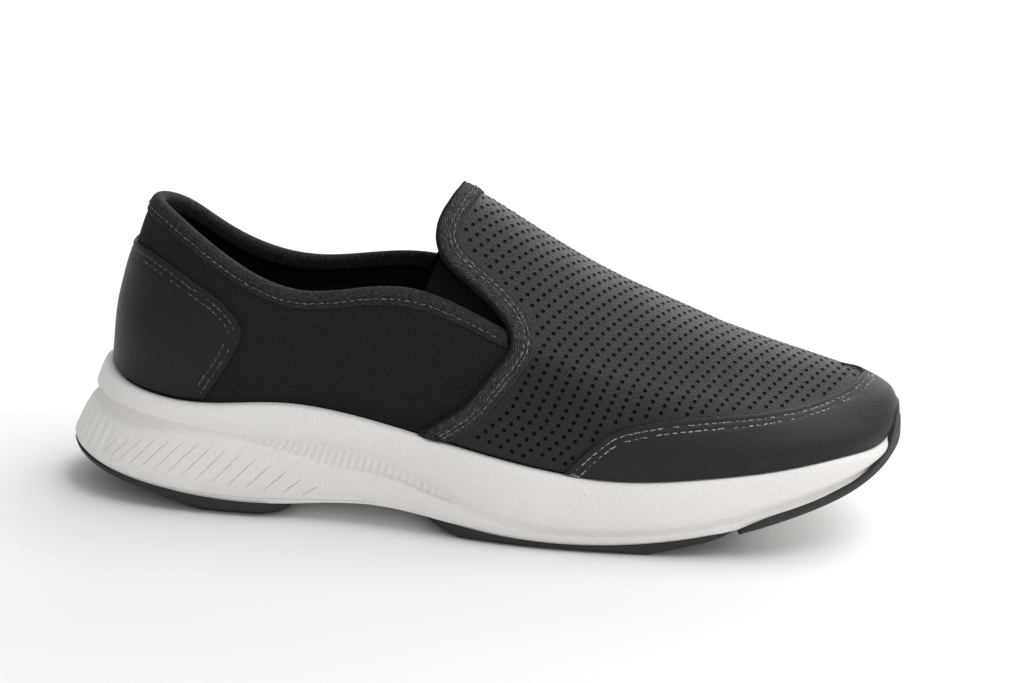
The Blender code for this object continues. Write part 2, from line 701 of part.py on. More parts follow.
def pad(name, plan, surface):
    """Rubber pad under the foam between two stations: rounded ends, a flat on the ground, grooves."""
    first, last = plan["ends"]
    rounding = PAD_ROUNDING
    end_steps = np.sin(np.linspace(0.25, 1.45, 5))
    stations = np.linspace(first, last - rounding, 14)
    if first > 0.5:
        stations = np.concatenate([first + rounding * (1 - end_steps[::-1]), stations[2:]])
    stations = np.concatenate([stations, last - rounding + rounding * end_steps])
    rows = []
    for s in stations:
        lateral, medial = inset_tread(s), inset_tread(LOOP - s)
        start = min(1.0, (s - first) / rounding) if first > 0.5 else 1.0
        end = min(1.0, (last - s) / rounding)
        narrow = 0.80 + 0.20 * math.sqrt(1 - (1 - max(min(start, end), 0)) ** 2)
        x, y = (lateral[0] + medial[0]) / 2, (lateral[1] + medial[1]) / 2
        half = (medial[1] - lateral[1]) / 2 * narrow
        top = float(TREAD(s)) - GAP
        low = max(0.0, min(float(GROUND(s)), top - PAD_LEAST))
        slope = min(PAD_SLOPE, half * 0.3)
        middle = (top + low) / 2
        near = [(x, y - half, top), (x, y - half + slope * 0.3, middle), (x, y - half + slope, low)]
        far = [(x, y + half - slope, low), (x, y + half - slope * 0.3, middle), (x, y + half, top)]
        rows.append(near + far)
    count = len(rows[0])
    faces = []
    for i in range(len(rows) - 1):
        for j in range(count):
            k = (j + 1) % count
            a = i * count
            faces.append((a + j, a + k, a + count + k, a + count + j))
    faces.append(tuple(range(count)))
    last_row = (len(rows) - 1) * count
    faces.append(tuple(last_row + j for j in reversed(range(count))))
    mesh = solid_from(name, [p for row in rows for p in row], faces)
    obj = new_object(name, mesh, surface)
    for number, at in enumerate(plan["grooves"]):
        boolean(obj, groove(name + "_groove_" + str(number + 1), at), "DIFFERENCE")
    return obj


def groove(name, at):
    """Cutter: groove across the tread on a rib, short of both edges."""
    lateral, medial = inset_tread(at), inset_tread(LOOP - at)
    lateral[2] = medial[2] = 0.0
    run = unit(medial - lateral)
    ends = lateral + run * GROOVE_EDGE, medial - run * GROOVE_EDGE
    work = bmesh.new()
    box_between(work, *ends, np.array([0.0, 0.0, -1.0]), GROOVE_WIDTH, GROOVE_DEPTH)
    mesh = bpy.data.meshes.new(name)
    bmesh.ops.recalc_face_normals(work, faces=work.faces)
    work.to_mesh(mesh)
    work.free()
    return as_cutter(bpy.data.objects.new(name, mesh))


def insole():
    places = full_loop(plain_stations())
    feather = FEATHER_LOOP(places)
    out = loop_outward(FEATHER_LOOP, places)
    edge = feather + out * (WALL_IN - GAP)
    low, high = edge.copy(), edge.copy()
    low[:, 2] = FLOOR(places) + GAP
    high[:, 2] = FLOOR(places) + GAP + INSOLE_THICK
    soft = high - out * INSOLE_ROUND
    high[:, 2] -= INSOLE_ROUND * 0.8
    mesh = ring_solid("insole", [low, high, soft], places)
    return new_object("insole", mesh, LINING)


def collar_base(at):
    """Height share of the lower edge of the collar roll on a rib."""
    top = form_base(at, V_COLLAR)
    lower = form_base(at, V_COLLAR - 0.05)
    pace = np.linalg.norm(top - lower, axis=-1) / 0.05
    return V_COLLAR - COLLAR_HEIGHT / pace


def upper_top(at):
    """Height share of the upper's top edge: under the collar roll, then across the instep at the throat."""
    station = np.where(at > TOE, LOOP - at, at)
    quarter = collar_base(at) - LAYER_GAP / COLLAR_RISE
    share = np.clip((station - VEE_STATION) / (THROAT_STATION - VEE_STATION), 0, 1)
    return quarter + (1 - quarter) * share


def upper():
    """Hollow upper: quarters and vamp lining as one wall, open at the collar, the throat and underneath."""
    plain = plain_stations()
    throat = np.linspace(VEE_STATION, THROAT_STATION, 5)
    stations = np.concatenate([plain[plain < throat[0] - 0.1], throat, plain[plain > throat[-1] + 0.1]])
    rows = np.array([-1.0, -0.02, 0.10, 0.22, 0.34, 0.46, 0.58, 0.70, 0.82, 0.91, 1.0])[:, None]
    halves = []
    for places in (stations, LOOP - stations):
        up = np.where(rows > 0, rows * upper_top(places)[None, :], rows)
        halves.append((np.broadcast_to(places[None, :], up.shape), up))
    return joined_shell("upper", halves, WALL_OUT, WALL_IN, TEXTILE)


def joined_shell(name, halves, out, inn, surface):
    """Sheet over both sides of the form, joined at the heel, at the toe and along the ridge."""
    outer, inner, faces = [], [], []
    offset = 0
    for number, (at, up) in enumerate(halves):
        outer.append(form(at, up, out).reshape(-1, 3))
        inner.append(form(at, up, inn).reshape(-1, 3))
        made = grid_faces(*at.shape, start=offset)
        faces += made if number == 0 else [tuple(reversed(face)) for face in made]
        offset += at.size
    outer, inner = np.concatenate(outer), np.concatenate(inner)
    # The two halves share their points at the heel, at the toe and along the ridge.
    rows, columns = halves[0][0].shape
    share = list(range(len(outer)))
    for i in range(rows):
        for j in range(columns):
            first, second = i * columns + j, rows * columns + i * columns + j
            at_ridge = i == rows - 1 and halves[0][1][i, j] > 0.999
            if j == 0 or j == columns - 1 or at_ridge:
                share[second] = first
    faces = [tuple(share[i] for i in face) for face in faces]
    used = sorted({i for face in faces for i in face})
    number = {old: new for new, old in enumerate(used)}
    faces = [tuple(number[i] for i in face) for face in faces]
    return new_object(name, thicken(name, outer[used], inner[used], faces), surface)


def across_top():
    """Shares from the lateral feather line (-1) over the ridge (0) to the medial feather line (1)."""
    up = np.array(EDGE_ROWS)
    return np.concatenate([up - 1, 1 - up[-2::-1]])


def edge_station(up, side):
    column = "along" if side > 0 else "medial_along"
    along = table_curve(VAMP_EDGE["up"], VAMP_EDGE[column])(up)
    return station_at(along, up, side)


def vamp():
    """Perforated outer panel over the forefoot, with its free flap over the instep."""
    across = across_top()
    up = np.maximum(1 - np.abs(across), SOLE_CLEAR)
    lateral = across < 0
    start = np.where(lateral, edge_station(up, 1), edge_station(up, -1))
    share = 1 - (1 - np.linspace(0, 1, 14)) ** 1.25
    station = start[:, None] + (TOE - start[:, None]) * share[None, :]
    at = np.where(lateral[:, None], station, LOOP - station)
    up = np.broadcast_to(up[:, None], at.shape)
    outer = form(at, up, 0.0).reshape(-1, 3)
    inner = form(at, up, -VAMP_THICK).reshape(-1, 3)
    rows, columns = at.shape
    faces = grid_faces(rows, columns)
    # The last column of both sides is the one rib over the toe.
    share = list(range(rows * columns))
    for i in range(rows):
        if across[i] > 0:
            share[i * columns + columns - 1] = (rows - 1 - i) * columns + columns - 1
    faces = [tuple(share[i] for i in face) for face in faces]
    used = sorted({i for face in faces for i in face})
    number = {old: new for new, old in enumerate(used)}
    faces = [tuple(number[i] for i in face) for face in faces]
    return new_object("vamp", thicken("vamp", outer[used], inner[used], faces), PERFORATED)


def walk(at, up, direction, distance, steps=4):
    """Moves places over the form by a distance along a direction."""
    for _ in range(steps):
        small = 0.01
        low = np.clip(up - small, 0, 1 - 2 * small)
        high = low + 2 * small
        run = (form_base(at + small, low) - form_base(at - small, low)) / (2 * small)
        rise = (form_base(at, high) - form_base(at, low)) / (high - low)[:, None]
        aim = direction * distance / steps
        a, b, c = (run * run).sum(1), (run * rise).sum(1), (rise * rise).sum(1)
        p, q = (run * aim).sum(1), (rise * aim).sum(1)
        det = a * c - b * b
        at = at + (p * c - q * b) / det
        up = up + (q * a - p * b) / det
    return at, up


def toe_cap():
    side = np.linspace(CAP_EDGE["station"][0], TOE - 1.3, 11)
    stations = np.concatenate([side, TOE - np.linspace(1, 0, 4)])
    edge = table_curve(CAP_EDGE["station"], CAP_EDGE["up"])(stations)
    rows = np.linspace(0, 1, 6)
    up = SOLE_CLEAR + (edge[None, :] - SOLE_CLEAR) * rows[:, None]
    at = np.broadcast_to(stations[None, :], up.shape)
    whole_at = np.concatenate([at, LOOP - at[:, -2::-1]], axis=1)
    whole_up = np.concatenate([up, up[:, -2::-1]], axis=1)
    return patch("toe_cap", whole_at, whole_up, LAYER_GAP + OVERLAY_THICK, LAYER_GAP, LEATHER)


def heel_counter():
    shares_up = np.linspace(0, 1, 7)
    reach = table_curve(COUNTER_REACH["share"], COUNTER_REACH["station"])(shares_up)
    spread = np.linspace(-1, 1, 21)
    top = table_curve(COUNTER_TOP["share"], COUNTER_TOP["up"])(np.abs(spread))
    at = reach[:, None] * spread[None, :]
    up = SOLE_CLEAR + (top[None, :] - SOLE_CLEAR) * shares_up[:, None]
    return patch("heel_counter", at, up, 0.0, -VAMP_THICK, LEATHER)


def collar():
    """Padded roll that binds the topline, from vee to vee around the heel."""
    half = np.concatenate([np.linspace(0, 2, 6), np.linspace(2.4, 6.1, 11)])
    at = np.concatenate([-half[:0:-1], half])
    station = np.abs(at)
    low = collar_base(at)
    depth = V_COLLAR - low
    pad_share = np.clip((station - 3.5) / 1.6, 0, 1)
    thick = COLLAR_PAD_HEEL + (COLLAR_PAD_FRONT - COLLAR_PAD_HEEL) * pad_share
    out = WALL_OUT + COLLAR_PROUD
    profile = (
        (0.0, 0.30), (0.12, 0.03), (0.50, 0.0), (0.86, 0.07), (1.08, 0.30),
        (1.14, 0.55), (1.06, 0.80), (0.80, 0.97), (0.40, 1.0), (0.03, 0.88),
    )
    rings = []
    for height, inward in profile:
        rings.append(form(at, low + depth * height, out - thick * inward))
    count = len(at)
    sides = len(profile)
    faces = []
    for k in range(sides):
        n = (k + 1) % sides
        for i in range(count - 1):
            faces.append((k * count + i, k * count + i + 1, n * count + i + 1, n * count + i))
    faces.append(tuple(k * count for k in range(sides)))
    faces.append(tuple(k * count + count - 1 for k in reversed(range(sides))))
    return new_object("collar", solid_from("collar", np.concatenate(rings), faces), PADDING)


def vamp_binding():
    across = across_top()
    up = np.maximum(1 - np.abs(across), SOLE_CLEAR)
    lateral = across < 0
    start = np.where(lateral, edge_station(up, 1), edge_station(up, -1))
    at = np.where(lateral, start, LOOP - start)
    points = form_base(at, up)
    run = unit(np.gradient(points, axis=0))
    inward = unit(np.cross(run, side_normal(at, up)))
    outer, inner = [], []
    lift = LAYER_GAP + GAP / 2
    for share in (0.0, 0.5, 1.0):
        moved_at, moved_up = walk(at, up, inward, TAPE_WIDTH * share)
        over = moved_up > 1
        moved_at = np.where(over, LOOP - moved_at, moved_at)
        moved_up = np.where(over, 2 - moved_up, moved_up)
        moved_up = np.maximum(moved_up, SOLE_CLEAR)
        outer.append(form(moved_at, moved_up, lift + OVERLAY_THICK))
        inner.append(form(moved_at, moved_up, lift))
    shape = (3, len(across))
    mesh = thicken("vamp_binding", np.concatenate(outer), np.concatenate(inner), grid_faces(*shape))
    return new_object("vamp_binding", mesh, WEBBING)


def gore(name, side):
    """Elastic panel inside the notch, from within the quarter up to under the flap."""
    up = np.linspace(0.40, 0.80, 8)
    rear = station_at(np.linspace(0.400, 0.447, 8), up, side)
    front = throat_station(up, side) + GORE_OVERLAP
    share = np.linspace(0, 1, 6)
    station = rear[:, None] + (front - rear)[:, None] * share[None, :]
    at = station if side > 0 else LOOP - station
    out = WALL_IN - 2 * LAYER_GAP
    return patch(name, at, np.broadcast_to(up[:, None], at.shape), out, out - GORE_THICK, ELASTIC)


def throat_station(up, side):
    """Station of the throat edge of the hidden wall at a height share."""
    top = collar_base(VEE_STATION if side > 0 else LOOP - VEE_STATION)
    return VEE_STATION + (THROAT_STATION - VEE_STATION) * np.clip((up - top) / (1 - top), 0, 1)


def flap_lining():
    """Padding under the free flap, behind the throat."""
    half = np.array([row for row in EDGE_ROWS if row > V_COLLAR])
    across = np.concatenate([half - 1, 1 - half[-2::-1]])
    up = 1 - np.abs(across)
    lateral = across < 0
    rear = np.where(lateral, edge_station(up, 1), edge_station(up, -1)) + LINING_INSET
    throat = np.where(lateral, throat_station(up, 1), throat_station(up, -1)) - LINING_INSET
    share = np.linspace(0, 1, 5)
    station = rear[:, None] + (throat - rear)[:, None] * share[None, :]
    at = np.where(lateral[:, None], station, LOOP - station)
    up = np.broadcast_to(up[:, None], at.shape)
    return patch("flap_lining", at, up, WALL_OUT - GAP / 2, WALL_IN, LINING)


def main():
    midsole()
    pad("outsole_heel", HEEL_PAD, RUBBER)
    pad("outsole_forefoot", BALL_PAD, RUBBER)
    outsole_toe()
    insole()
    upper()
    vamp()
    toe_cap()
    heel_counter()
    collar()
    vamp_binding()
    flap_lining()
    gore("gore_lateral", 1)
    gore("gore_medial", -1)


main()
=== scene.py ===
"""Dresses the plain solids of a slip-on shoe: fine skins, seams, stitches, holes, finishes and a studio."""

import math

import bmesh
import bpy
import numpy as np
from bpy.props import FloatProperty, FloatVectorProperty, PointerProperty
from mathutils import Matrix, Vector
from mathutils.bvhtree import BVHTree
from mathutils.kdtree import KDTree


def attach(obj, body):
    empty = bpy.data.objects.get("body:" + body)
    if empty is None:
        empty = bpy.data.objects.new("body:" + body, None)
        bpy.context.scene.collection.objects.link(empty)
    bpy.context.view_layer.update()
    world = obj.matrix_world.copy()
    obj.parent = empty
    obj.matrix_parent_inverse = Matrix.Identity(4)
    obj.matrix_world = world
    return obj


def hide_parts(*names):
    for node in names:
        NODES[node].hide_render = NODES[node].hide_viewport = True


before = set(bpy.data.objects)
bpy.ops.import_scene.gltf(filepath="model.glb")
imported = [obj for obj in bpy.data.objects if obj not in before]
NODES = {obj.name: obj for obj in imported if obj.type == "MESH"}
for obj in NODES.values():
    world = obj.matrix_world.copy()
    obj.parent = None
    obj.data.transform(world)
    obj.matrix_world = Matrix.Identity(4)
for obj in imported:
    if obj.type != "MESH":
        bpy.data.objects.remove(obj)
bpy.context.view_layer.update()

bl_info = {
    "name": "Slip-on shoe dressing",
    "version": (1, 0, 0),
    "blender": (4, 5, 0),
    "location": "View3D > Sidebar > Shoe",
    "description": "Adds fine skins, seams, stitches and finishes to the plain solids of a slip-on shoe",
    "category": "Object",
}

# Driving sizes
LENGTH = 0.300
BALL_HALF = 0.052
STACK = 0.045
COLLAR_RISE = 0.061
INSTEP_RISE = 0.080
GAP = 0.0003
LAYER_GAP = 0.0006

# Sole sizes
RIM_WIDTH = 0.0026
RIM_ROUND = 0.0009
STEP_DEPTH = 0.0009
BAND_BULGE = 0.0010
TREAD_TUCK = 0.0020
BUMPER_THICK = 0.0021
RIB_DEPTH = 0.0007

# Upper sizes: each layer lies between two lifts from the form, which is the outer face of the vamp
VAMP_THICK = 0.0011
WALL = 0.0020
OVERLAY_THICK = 0.0010
TAPE_WIDTH = 0.0066
COLLAR_HEIGHT = 0.0066
COLLAR_PROUD = 0.0007
COLLAR_PAD_HEEL = 0.0050
COLLAR_PAD_FRONT = 0.0030
BELLY_DEPTH = 0.0040

WALL_OUT = -VAMP_THICK - LAYER_GAP

# Sections: one row for each station from the heel (0) to the toe (12), in shares of the sizes above.
# along: share of LENGTH. lateral, medial: shares of BALL_HALF. height: share of STACK.
FEATHER = {
    "along": (0.045, 0.059, 0.103, 0.177, 0.273, 0.390, 0.510, 0.633, 0.743, 0.838, 0.913, 0.960, 0.975),
    "lateral": (0.00, 0.31, 0.53, 0.635, 0.663, 0.74, 0.885, 0.950, 0.925, 0.80, 0.575, 0.26, -0.077),
    "medial": (0.00, 0.31, 0.52, 0.615, 0.60, 0.567, 0.654, 0.846, 0.933, 0.865, 0.70, 0.43, 0.077),
    "height": (0.99, 0.94, 0.88, 0.865, 0.915, 0.815, 0.675, 0.583, 0.63, 0.70, 0.76, 0.79, 0.91),
}
FLARE = {
    "along": (0.000, 0.018, 0.065, 0.145, 0.253, 0.377, 0.510, 0.640, 0.757, 0.853, 0.929, 0.971, 0.986),
    "lateral": (0.00, 0.35, 0.60, 0.735, 0.76, 0.795, 0.950, 1.0, 0.950, 0.795, 0.53, 0.21, -0.077),
    "medial": (0.00, 0.35, 0.595, 0.72, 0.70, 0.645, 0.72, 0.915, 0.985, 0.90, 0.685, 0.39, 0.077),
    "height": (0.37, 0.355, 0.32, 0.277, 0.255, 0.265, 0.150, 0.125, 0.225, 0.375, 0.525, 0.64, 0.71),
}
# crease: line under the rim. tread: underside of the foam. ground: underside of the rubber. floor: cup floor.
LEVELS = {
    "crease": (0.80, 0.79, 0.755, 0.71, 0.672, 0.560, 0.255, 0.19, 0.29, 0.44, 0.58, 0.69, 0.76),
    "tread": (0.315, 0.290, 0.215, 0.130, 0.092, 0.158, 0.062, 0.052, 0.158, 0.316, 0.472, 0.61, 0.68),
    "ground": (0.265, 0.235, 0.155, 0.040, -0.06, 0.085, -0.045, -0.06, 0.105, 0.262, 0.420, 0.56, 0.62),
    "floor": (0.69, 0.69, 0.68, 0.667, 0.655, 0.61, 0.52, 0.425, 0.41, 0.45, 0.55, 0.63, 0.665),
}
# Collar line over the quarters, shoulder line over the vamp.
# rise: share of COLLAR_RISE over the feather line.
SHOULDER = {
    "along": (0.089, 0.098, 0.131, 0.188, 0.280, 0.393, 0.507, 0.613, 0.713, 0.800, 0.874, 0.942, 0.965),
    "lateral": (0.00, 0.175, 0.375, 0.54, 0.655, 0.665, 0.72, 0.76, 0.69, 0.595, 0.425, 0.19, -0.077),
    "medial": (0.00, 0.175, 0.375, 0.53, 0.645, 0.655, 0.675, 0.73, 0.73, 0.67, 0.54, 0.34, 0.077),
    "lateral_rise": (1.00, 1.03, 1.01, 0.86, 0.67, 0.805, 0.737, 0.612, 0.460, 0.335, 0.258, 0.225, 0.145),
    "medial_rise": (1.00, 1.02, 0.967, 0.774, 0.607, 0.734, 0.735, 0.653, 0.501, 0.360, 0.275, 0.225, 0.145),
}
# Ridge over the instep. rise: share of INSTEP_RISE above the feather line. belly: share of BELLY_DEPTH.
RIDGE = {
    "along": (0.167, 0.173, 0.200, 0.250, 0.327, 0.427, 0.507, 0.607, 0.707, 0.793, 0.860, 0.897, 0.907),
    "medial": (0.0, 0.0, 0.0, 0.0, 0.01, 0.02, 0.04, 0.058, 0.077, 0.077, 0.077, 0.077, 0.077),
    "rise": (0.92, 0.93, 0.95, 1.00, 0.99, 1.000, 0.943, 0.784, 0.597, 0.441, 0.336, 0.284, 0.208),
    "belly": (0.775, 0.775, 0.775, 0.60, 0.40, 0.40, 0.65, 0.90, 1.00, 1.00, 0.90, 0.75, 0.50),
}
TOE = 12
LOOP = 2 * TOE
V_BELLY = 0.25
V_COLLAR = 0.55
BELLY_AT = 0.42
TOP_FULLNESS = 1.0

# Rear edge of the vamp: up: share of the way from the feather line to the ridge. along: share of LENGTH.
VAMP_EDGE = {
    "up": (
        0.0, 0.05, 0.13, 0.20, 0.29, 0.38, 0.44, 0.50, 0.55, 0.588, 0.618, 0.64,
        0.663, 0.688, 0.725, 0.765, 0.82, 0.875, 0.92, 0.96, 1.0,
    ),
    "along": (
        0.418, 0.435, 0.457, 0.474, 0.490, 0.506, 0.516, 0.523, 0.521, 0.511, 0.493, 0.470,
        0.449, 0.438, 0.431, 0.430, 0.434, 0.441, 0.446, 0.450, 0.452,
    ),
    "medial_along": (
        0.418, 0.435, 0.457, 0.474, 0.490, 0.506, 0.516, 0.523, 0.521, 0.511, 0.493, 0.472,
        0.455, 0.447, 0.443, 0.445, 0.449, 0.452, 0.453, 0.453, 0.452,
    ),
}
# Rear edge of the toe cap: station: number of the section. up: as above.
CAP_EDGE = {
    "station": (6.66, 6.90, 7.15, 7.50, 8.20, 9.20, 9.90, 10.60, 11.20, 12.0),
    "up": (0.01, 0.16, 0.27, 0.335, 0.405, 0.475, 0.53, 0.645, 0.75, 0.79),
}
# Outline of the heel counter: station of its front edge, and height of its top, for each share of the way.
COUNTER_REACH = {
    "share": (0.0, 0.36, 0.62, 0.80, 0.92, 1.0),
    "station": (2.91, 3.15, 3.28, 3.33, 3.29, 3.16),
}
COUNTER_TOP = {
    "share": (0.0, 0.25, 0.50, 0.85, 0.95, 1.0),
    "up": (0.385, 0.395, 0.405, 0.402, 0.394, 0.380),
}
# Ribbed band in the side of the midsole, lateral side. along: share of LENGTH.
# height: its lower line, in shares of STACK.
BAND = {
    "along": (0.185, 0.233, 0.273, 0.313, 0.353, 0.393, 0.423, 0.480),
    "height": (0.64, 0.575, 0.515, 0.45, 0.435, 0.405, 0.35, 0.26),
}
BAND_DEPTH = 0.0012
# Rubber pads: stations of both ends, and stations of the grooves across the tread.
HEEL_PAD = {"ends": (0.15, 4.25), "grooves": (1.55, 3.75)}
BALL_PAD = {"ends": (5.55, 8.42), "grooves": (6.35, 7.65, 8.05)}
GROOVE_WIDTH = 0.0026
GROOVE_DEPTH = 0.0009
GROOVE_EDGE = 0.009
# Stations of the vee, where the collar meets the vamp, and of the throat of the wall under the flap.
VEE_STATION = 6.18
THROAT_STATION = 6.75
# Height share at which the overlays start, just clear of the sole.
SOLE_CLEAR = 0.014


def spline_slopes(values, closed):
    """Slopes at the knots of a smooth curve through values that lie one step apart."""
    count = len(values)
    matrix = np.zeros((count, count))
    right = np.zeros((count,) + values.shape[1:])
    for row in range(count):
        before, after = row - 1, row + 1
        if closed:
            before, after = before % count, after % count
        elif row == 0 or row == count - 1:
            inner = after if row == 0 else before
            matrix[row, row], matrix[row, inner] = 2, 1
            right[row] = 3 * (values[inner] - values[row]) * (1 if row == 0 else -1)
            continue
        matrix[row, before] += 1
        matrix[row, row] += 4
        matrix[row, after] += 1
        right[row] = 3 * (values[after] - values[before])
    return np.linalg.solve(matrix, right)


class Curve:
    """Smooth curve through rows one step apart, open or closed."""

    def __init__(self, rows, closed=False):
        self.rows = np.asarray(rows, float)
        self.closed = closed
        self.slopes = spline_slopes(self.rows, closed)

    def __call__(self, at):
        at = np.asarray(at, float)
        count = len(self.rows)
        if self.closed:
            at = at % count
            first = np.floor(at).astype(int) % count
            second = (first + 1) % count
        else:
            at = np.clip(at, 0, count - 1)
            first = np.minimum(np.floor(at).astype(int), count - 2)
            second = first + 1
        share = (at - first)[..., None] if self.rows.ndim > 1 else at - first
        rest = 1 - share
        return (
            rest * rest * (1 + 2 * share) * self.rows[first]
            + share * share * (3 - 2 * share) * self.rows[second]
            + share * rest * rest * self.slopes[first]
            - share * share * rest * self.slopes[second]
        )


def table_curve(keys, values):
    """Function through the rows of a table: smooth, with no overshoot between rows."""
    keys = np.asarray(keys, float)
    values = np.asarray(values, float)
    steps = np.diff(values) / np.diff(keys)
    slopes = np.concatenate([[steps[0]], (steps[1:] + steps[:-1]) / 2, [steps[-1]]])
    slopes[1:-1][steps[1:] * steps[:-1] <= 0] = 0

    def value(at):
        at = np.clip(np.asarray(at, float), keys[0], keys[-1])
        first = np.clip(np.searchsorted(keys, at, side="right") - 1, 0, len(keys) - 2)
        width = keys[first + 1] - keys[first]
        share = (at - keys[first]) / width
        rest = 1 - share
        return (
            rest * rest * (1 + 2 * share) * values[first]
            + share * share * (3 - 2 * share) * values[first + 1]
            + share * rest * rest * slopes[first] * width
            - share * share * rest * slopes[first + 1] * width
        )

    return value


def around(along, lateral, medial, lateral_height, medial_height):
    """Closed guide loop: lateral side from heel to toe, then medial side back to the heel."""
    near = [(a, -b, c) for a, b, c in zip(along, lateral, lateral_height)]
    far = [(a, b, c) for a, b, c in zip(along, medial, medial_height)]
    return Curve(near + far[-2:0:-1], closed=True)


def shares(values, size):
    return np.asarray(values, float) * size


def along_axis(values):
    return (np.asarray(values, float) - 0.5) * LENGTH


def sole_loop(table, height):
    return around(
        along_axis(table["along"]),
        shares(table["lateral"], BALL_HALF),
        shares(table["medial"], BALL_HALF),
        height,
        height,
    )


feather_height = shares(FEATHER["height"], STACK)
FEATHER_LOOP = sole_loop(FEATHER, feather_height)
FLARE_LOOP = sole_loop(FLARE, shares(FLARE["height"], STACK))
SHOULDER_LOOP = around(
    along_axis(SHOULDER["along"]),
    shares(SHOULDER["lateral"], BALL_HALF),
    shares(SHOULDER["medial"], BALL_HALF),
    feather_height + shares(SHOULDER["lateral_rise"], COLLAR_RISE),
    feather_height + shares(SHOULDER["medial_rise"], COLLAR_RISE),
)
ridge_height = feather_height + shares(RIDGE["rise"], INSTEP_RISE)
RIDGE_LOOP = around(
    along_axis(RIDGE["along"]),
    -shares(RIDGE["medial"], BALL_HALF),
    shares(RIDGE["medial"], BALL_HALF),
    ridge_height,
    ridge_height,
)


def mirrored(values):
    """Column of a table as a closed loop, the same on both sides."""
    values = list(values)
    return Curve(values + values[-2:0:-1], closed=True)


BELLY = mirrored(shares(RIDGE["belly"], BELLY_DEPTH))
CREASE = mirrored(shares(LEVELS["crease"], STACK))
TREAD = mirrored(shares(LEVELS["tread"], STACK))
GROUND = mirrored(shares(LEVELS["ground"], STACK))
FLOOR = mirrored(shares(LEVELS["floor"], STACK))


def loop_outward(loop, at):
    """Level unit vector that points out of a guide loop."""
    step = 0.02
    run = loop(at + step) - loop(at - step)
    out = np.stack([run[..., 1], -run[..., 0], np.zeros_like(run[..., 0])], axis=-1)
    return out / np.linalg.norm(out, axis=-1, keepdims=True)


def unit(vectors):
    return vectors / np.maximum(np.linalg.norm(vectors, axis=-1, keepdims=True), 1e-12)


def form_base(at, up):
    """Point of the form on rib `at` of the loop; up runs from 0 at the feather line to 1 at the ridge."""
    at, up = np.broadcast_arrays(np.asarray(at, float), np.asarray(up, float))
    foot, shoulder, ridge = FEATHER_LOOP(at), SHOULDER_LOOP(at), RIDGE_LOOP(at)
    outward = loop_outward(FEATHER_LOOP, at)
    belly = foot + (shoulder - foot) * BELLY_AT + outward * BELLY(at)[..., None]
    step = 0.05
    ridge_run = RIDGE_LOOP(np.abs(TOE - at % LOOP) * -1 + TOE + step) - RIDGE_LOOP(
        np.abs(TOE - at % LOOP) * -1 + TOE - step
    )
    slope = ridge_run[..., 2] / np.where(np.abs(ridge_run[..., 0]) < 1e-6, -1e-6, ridge_run[..., 0])
    cross = ridge - shoulder
    cross[..., 2] = np.clip(slope, -0.9, 0.3) * cross[..., 0]
    reach = np.linalg.norm(ridge - shoulder, axis=-1, keepdims=True)
    top_slope = unit(cross) * reach * TOP_FULLNESS / (1 - V_COLLAR)
    knots = (0.0, V_BELLY, V_COLLAR, 1.0)
    points = (foot, belly, shoulder, ridge)
    slopes = (
        (belly - foot) / V_BELLY,
        (shoulder - foot) / V_COLLAR,
        (ridge - belly) / (1 - V_BELLY),
        top_slope,
    )
    result = np.zeros(at.shape + (3,))
    for i in range(3):
        width = knots[i + 1] - knots[i]
        inside = (up >= knots[i]) & (up <= knots[i + 1]) if i else up <= knots[1]
        share = np.clip((up - knots[i]) / width, 0, 1)[..., None]
        rest = 1 - share
        piece = (
            rest * rest * (1 + 2 * share) * points[i]
            + share * share * (3 - 2 * share) * points[i + 1]
            + share * rest * rest * slopes[i] * width
            - share * share * rest * slopes[i + 1] * width
        )
        result = np.where(inside[..., None], piece, result)
    return result


def side_normal(at, up):
    step = 0.02
    up = np.clip(up, step, 0.96)
    across = form_base(at + step, up) - form_base(at - step, up)
    rise = form_base(at, up + step) - form_base(at, up - step)
    return unit(np.cross(across, rise))


def form(at, up, lift=0.0):
    """Point at a lift from the form. Below the feather line the wall runs straight down into the cup."""
    at, up, lift = np.broadcast_arrays(np.asarray(at, float), np.asarray(up, float), np.asarray(lift, float))
    base = form_base(at, np.maximum(up, 0))
    normal = side_normal(at, np.maximum(up, 0))
    other = side_normal(LOOP - at, np.maximum(up, 0))
    normal = np.where((up > 0.97)[..., None], unit(normal + other), normal)
    level = loop_outward(FEATHER_LOOP, at)
    share = np.clip(up / 0.06, 0, 1)[..., None]
    normal = unit(normal * share + level * (1 - share))
    drop = np.minimum(up, 0) * (FEATHER_LOOP(at)[..., 2] - FLOOR(at) - GAP)
    base = base + np.stack([drop * 0, drop * 0, drop], axis=-1)
    return base + normal * lift[..., None]


def station_at(along, up, side=1):
    """Station of the rib that passes a distance along the shoe (share of LENGTH) at a height share."""
    stations = np.linspace(0, TOE, 241)
    places = stations if side > 0 else LOOP - stations
    found = [
        np.interp((a - 0.5) * LENGTH, form_base(places, np.full_like(places, u))[:, 0], stations)
        for a, u in zip(np.atleast_1d(along), np.atleast_1d(up))
    ]
    return np.array(found)


def side_point(at, height):
    """Point of the midsole's side on a rib, between the flare and the rim."""
    flare = FLARE_LOOP(at)
    rim = FEATHER_LOOP(at) + loop_outward(FEATHER_LOOP, at) * RIM_WIDTH
    share = (height - flare[..., 2]) / (rim[..., 2] - flare[..., 2])
    point = flare + (rim - flare) * np.clip(share, 0, 1)[..., None]
    point[..., 2] = height
    return point


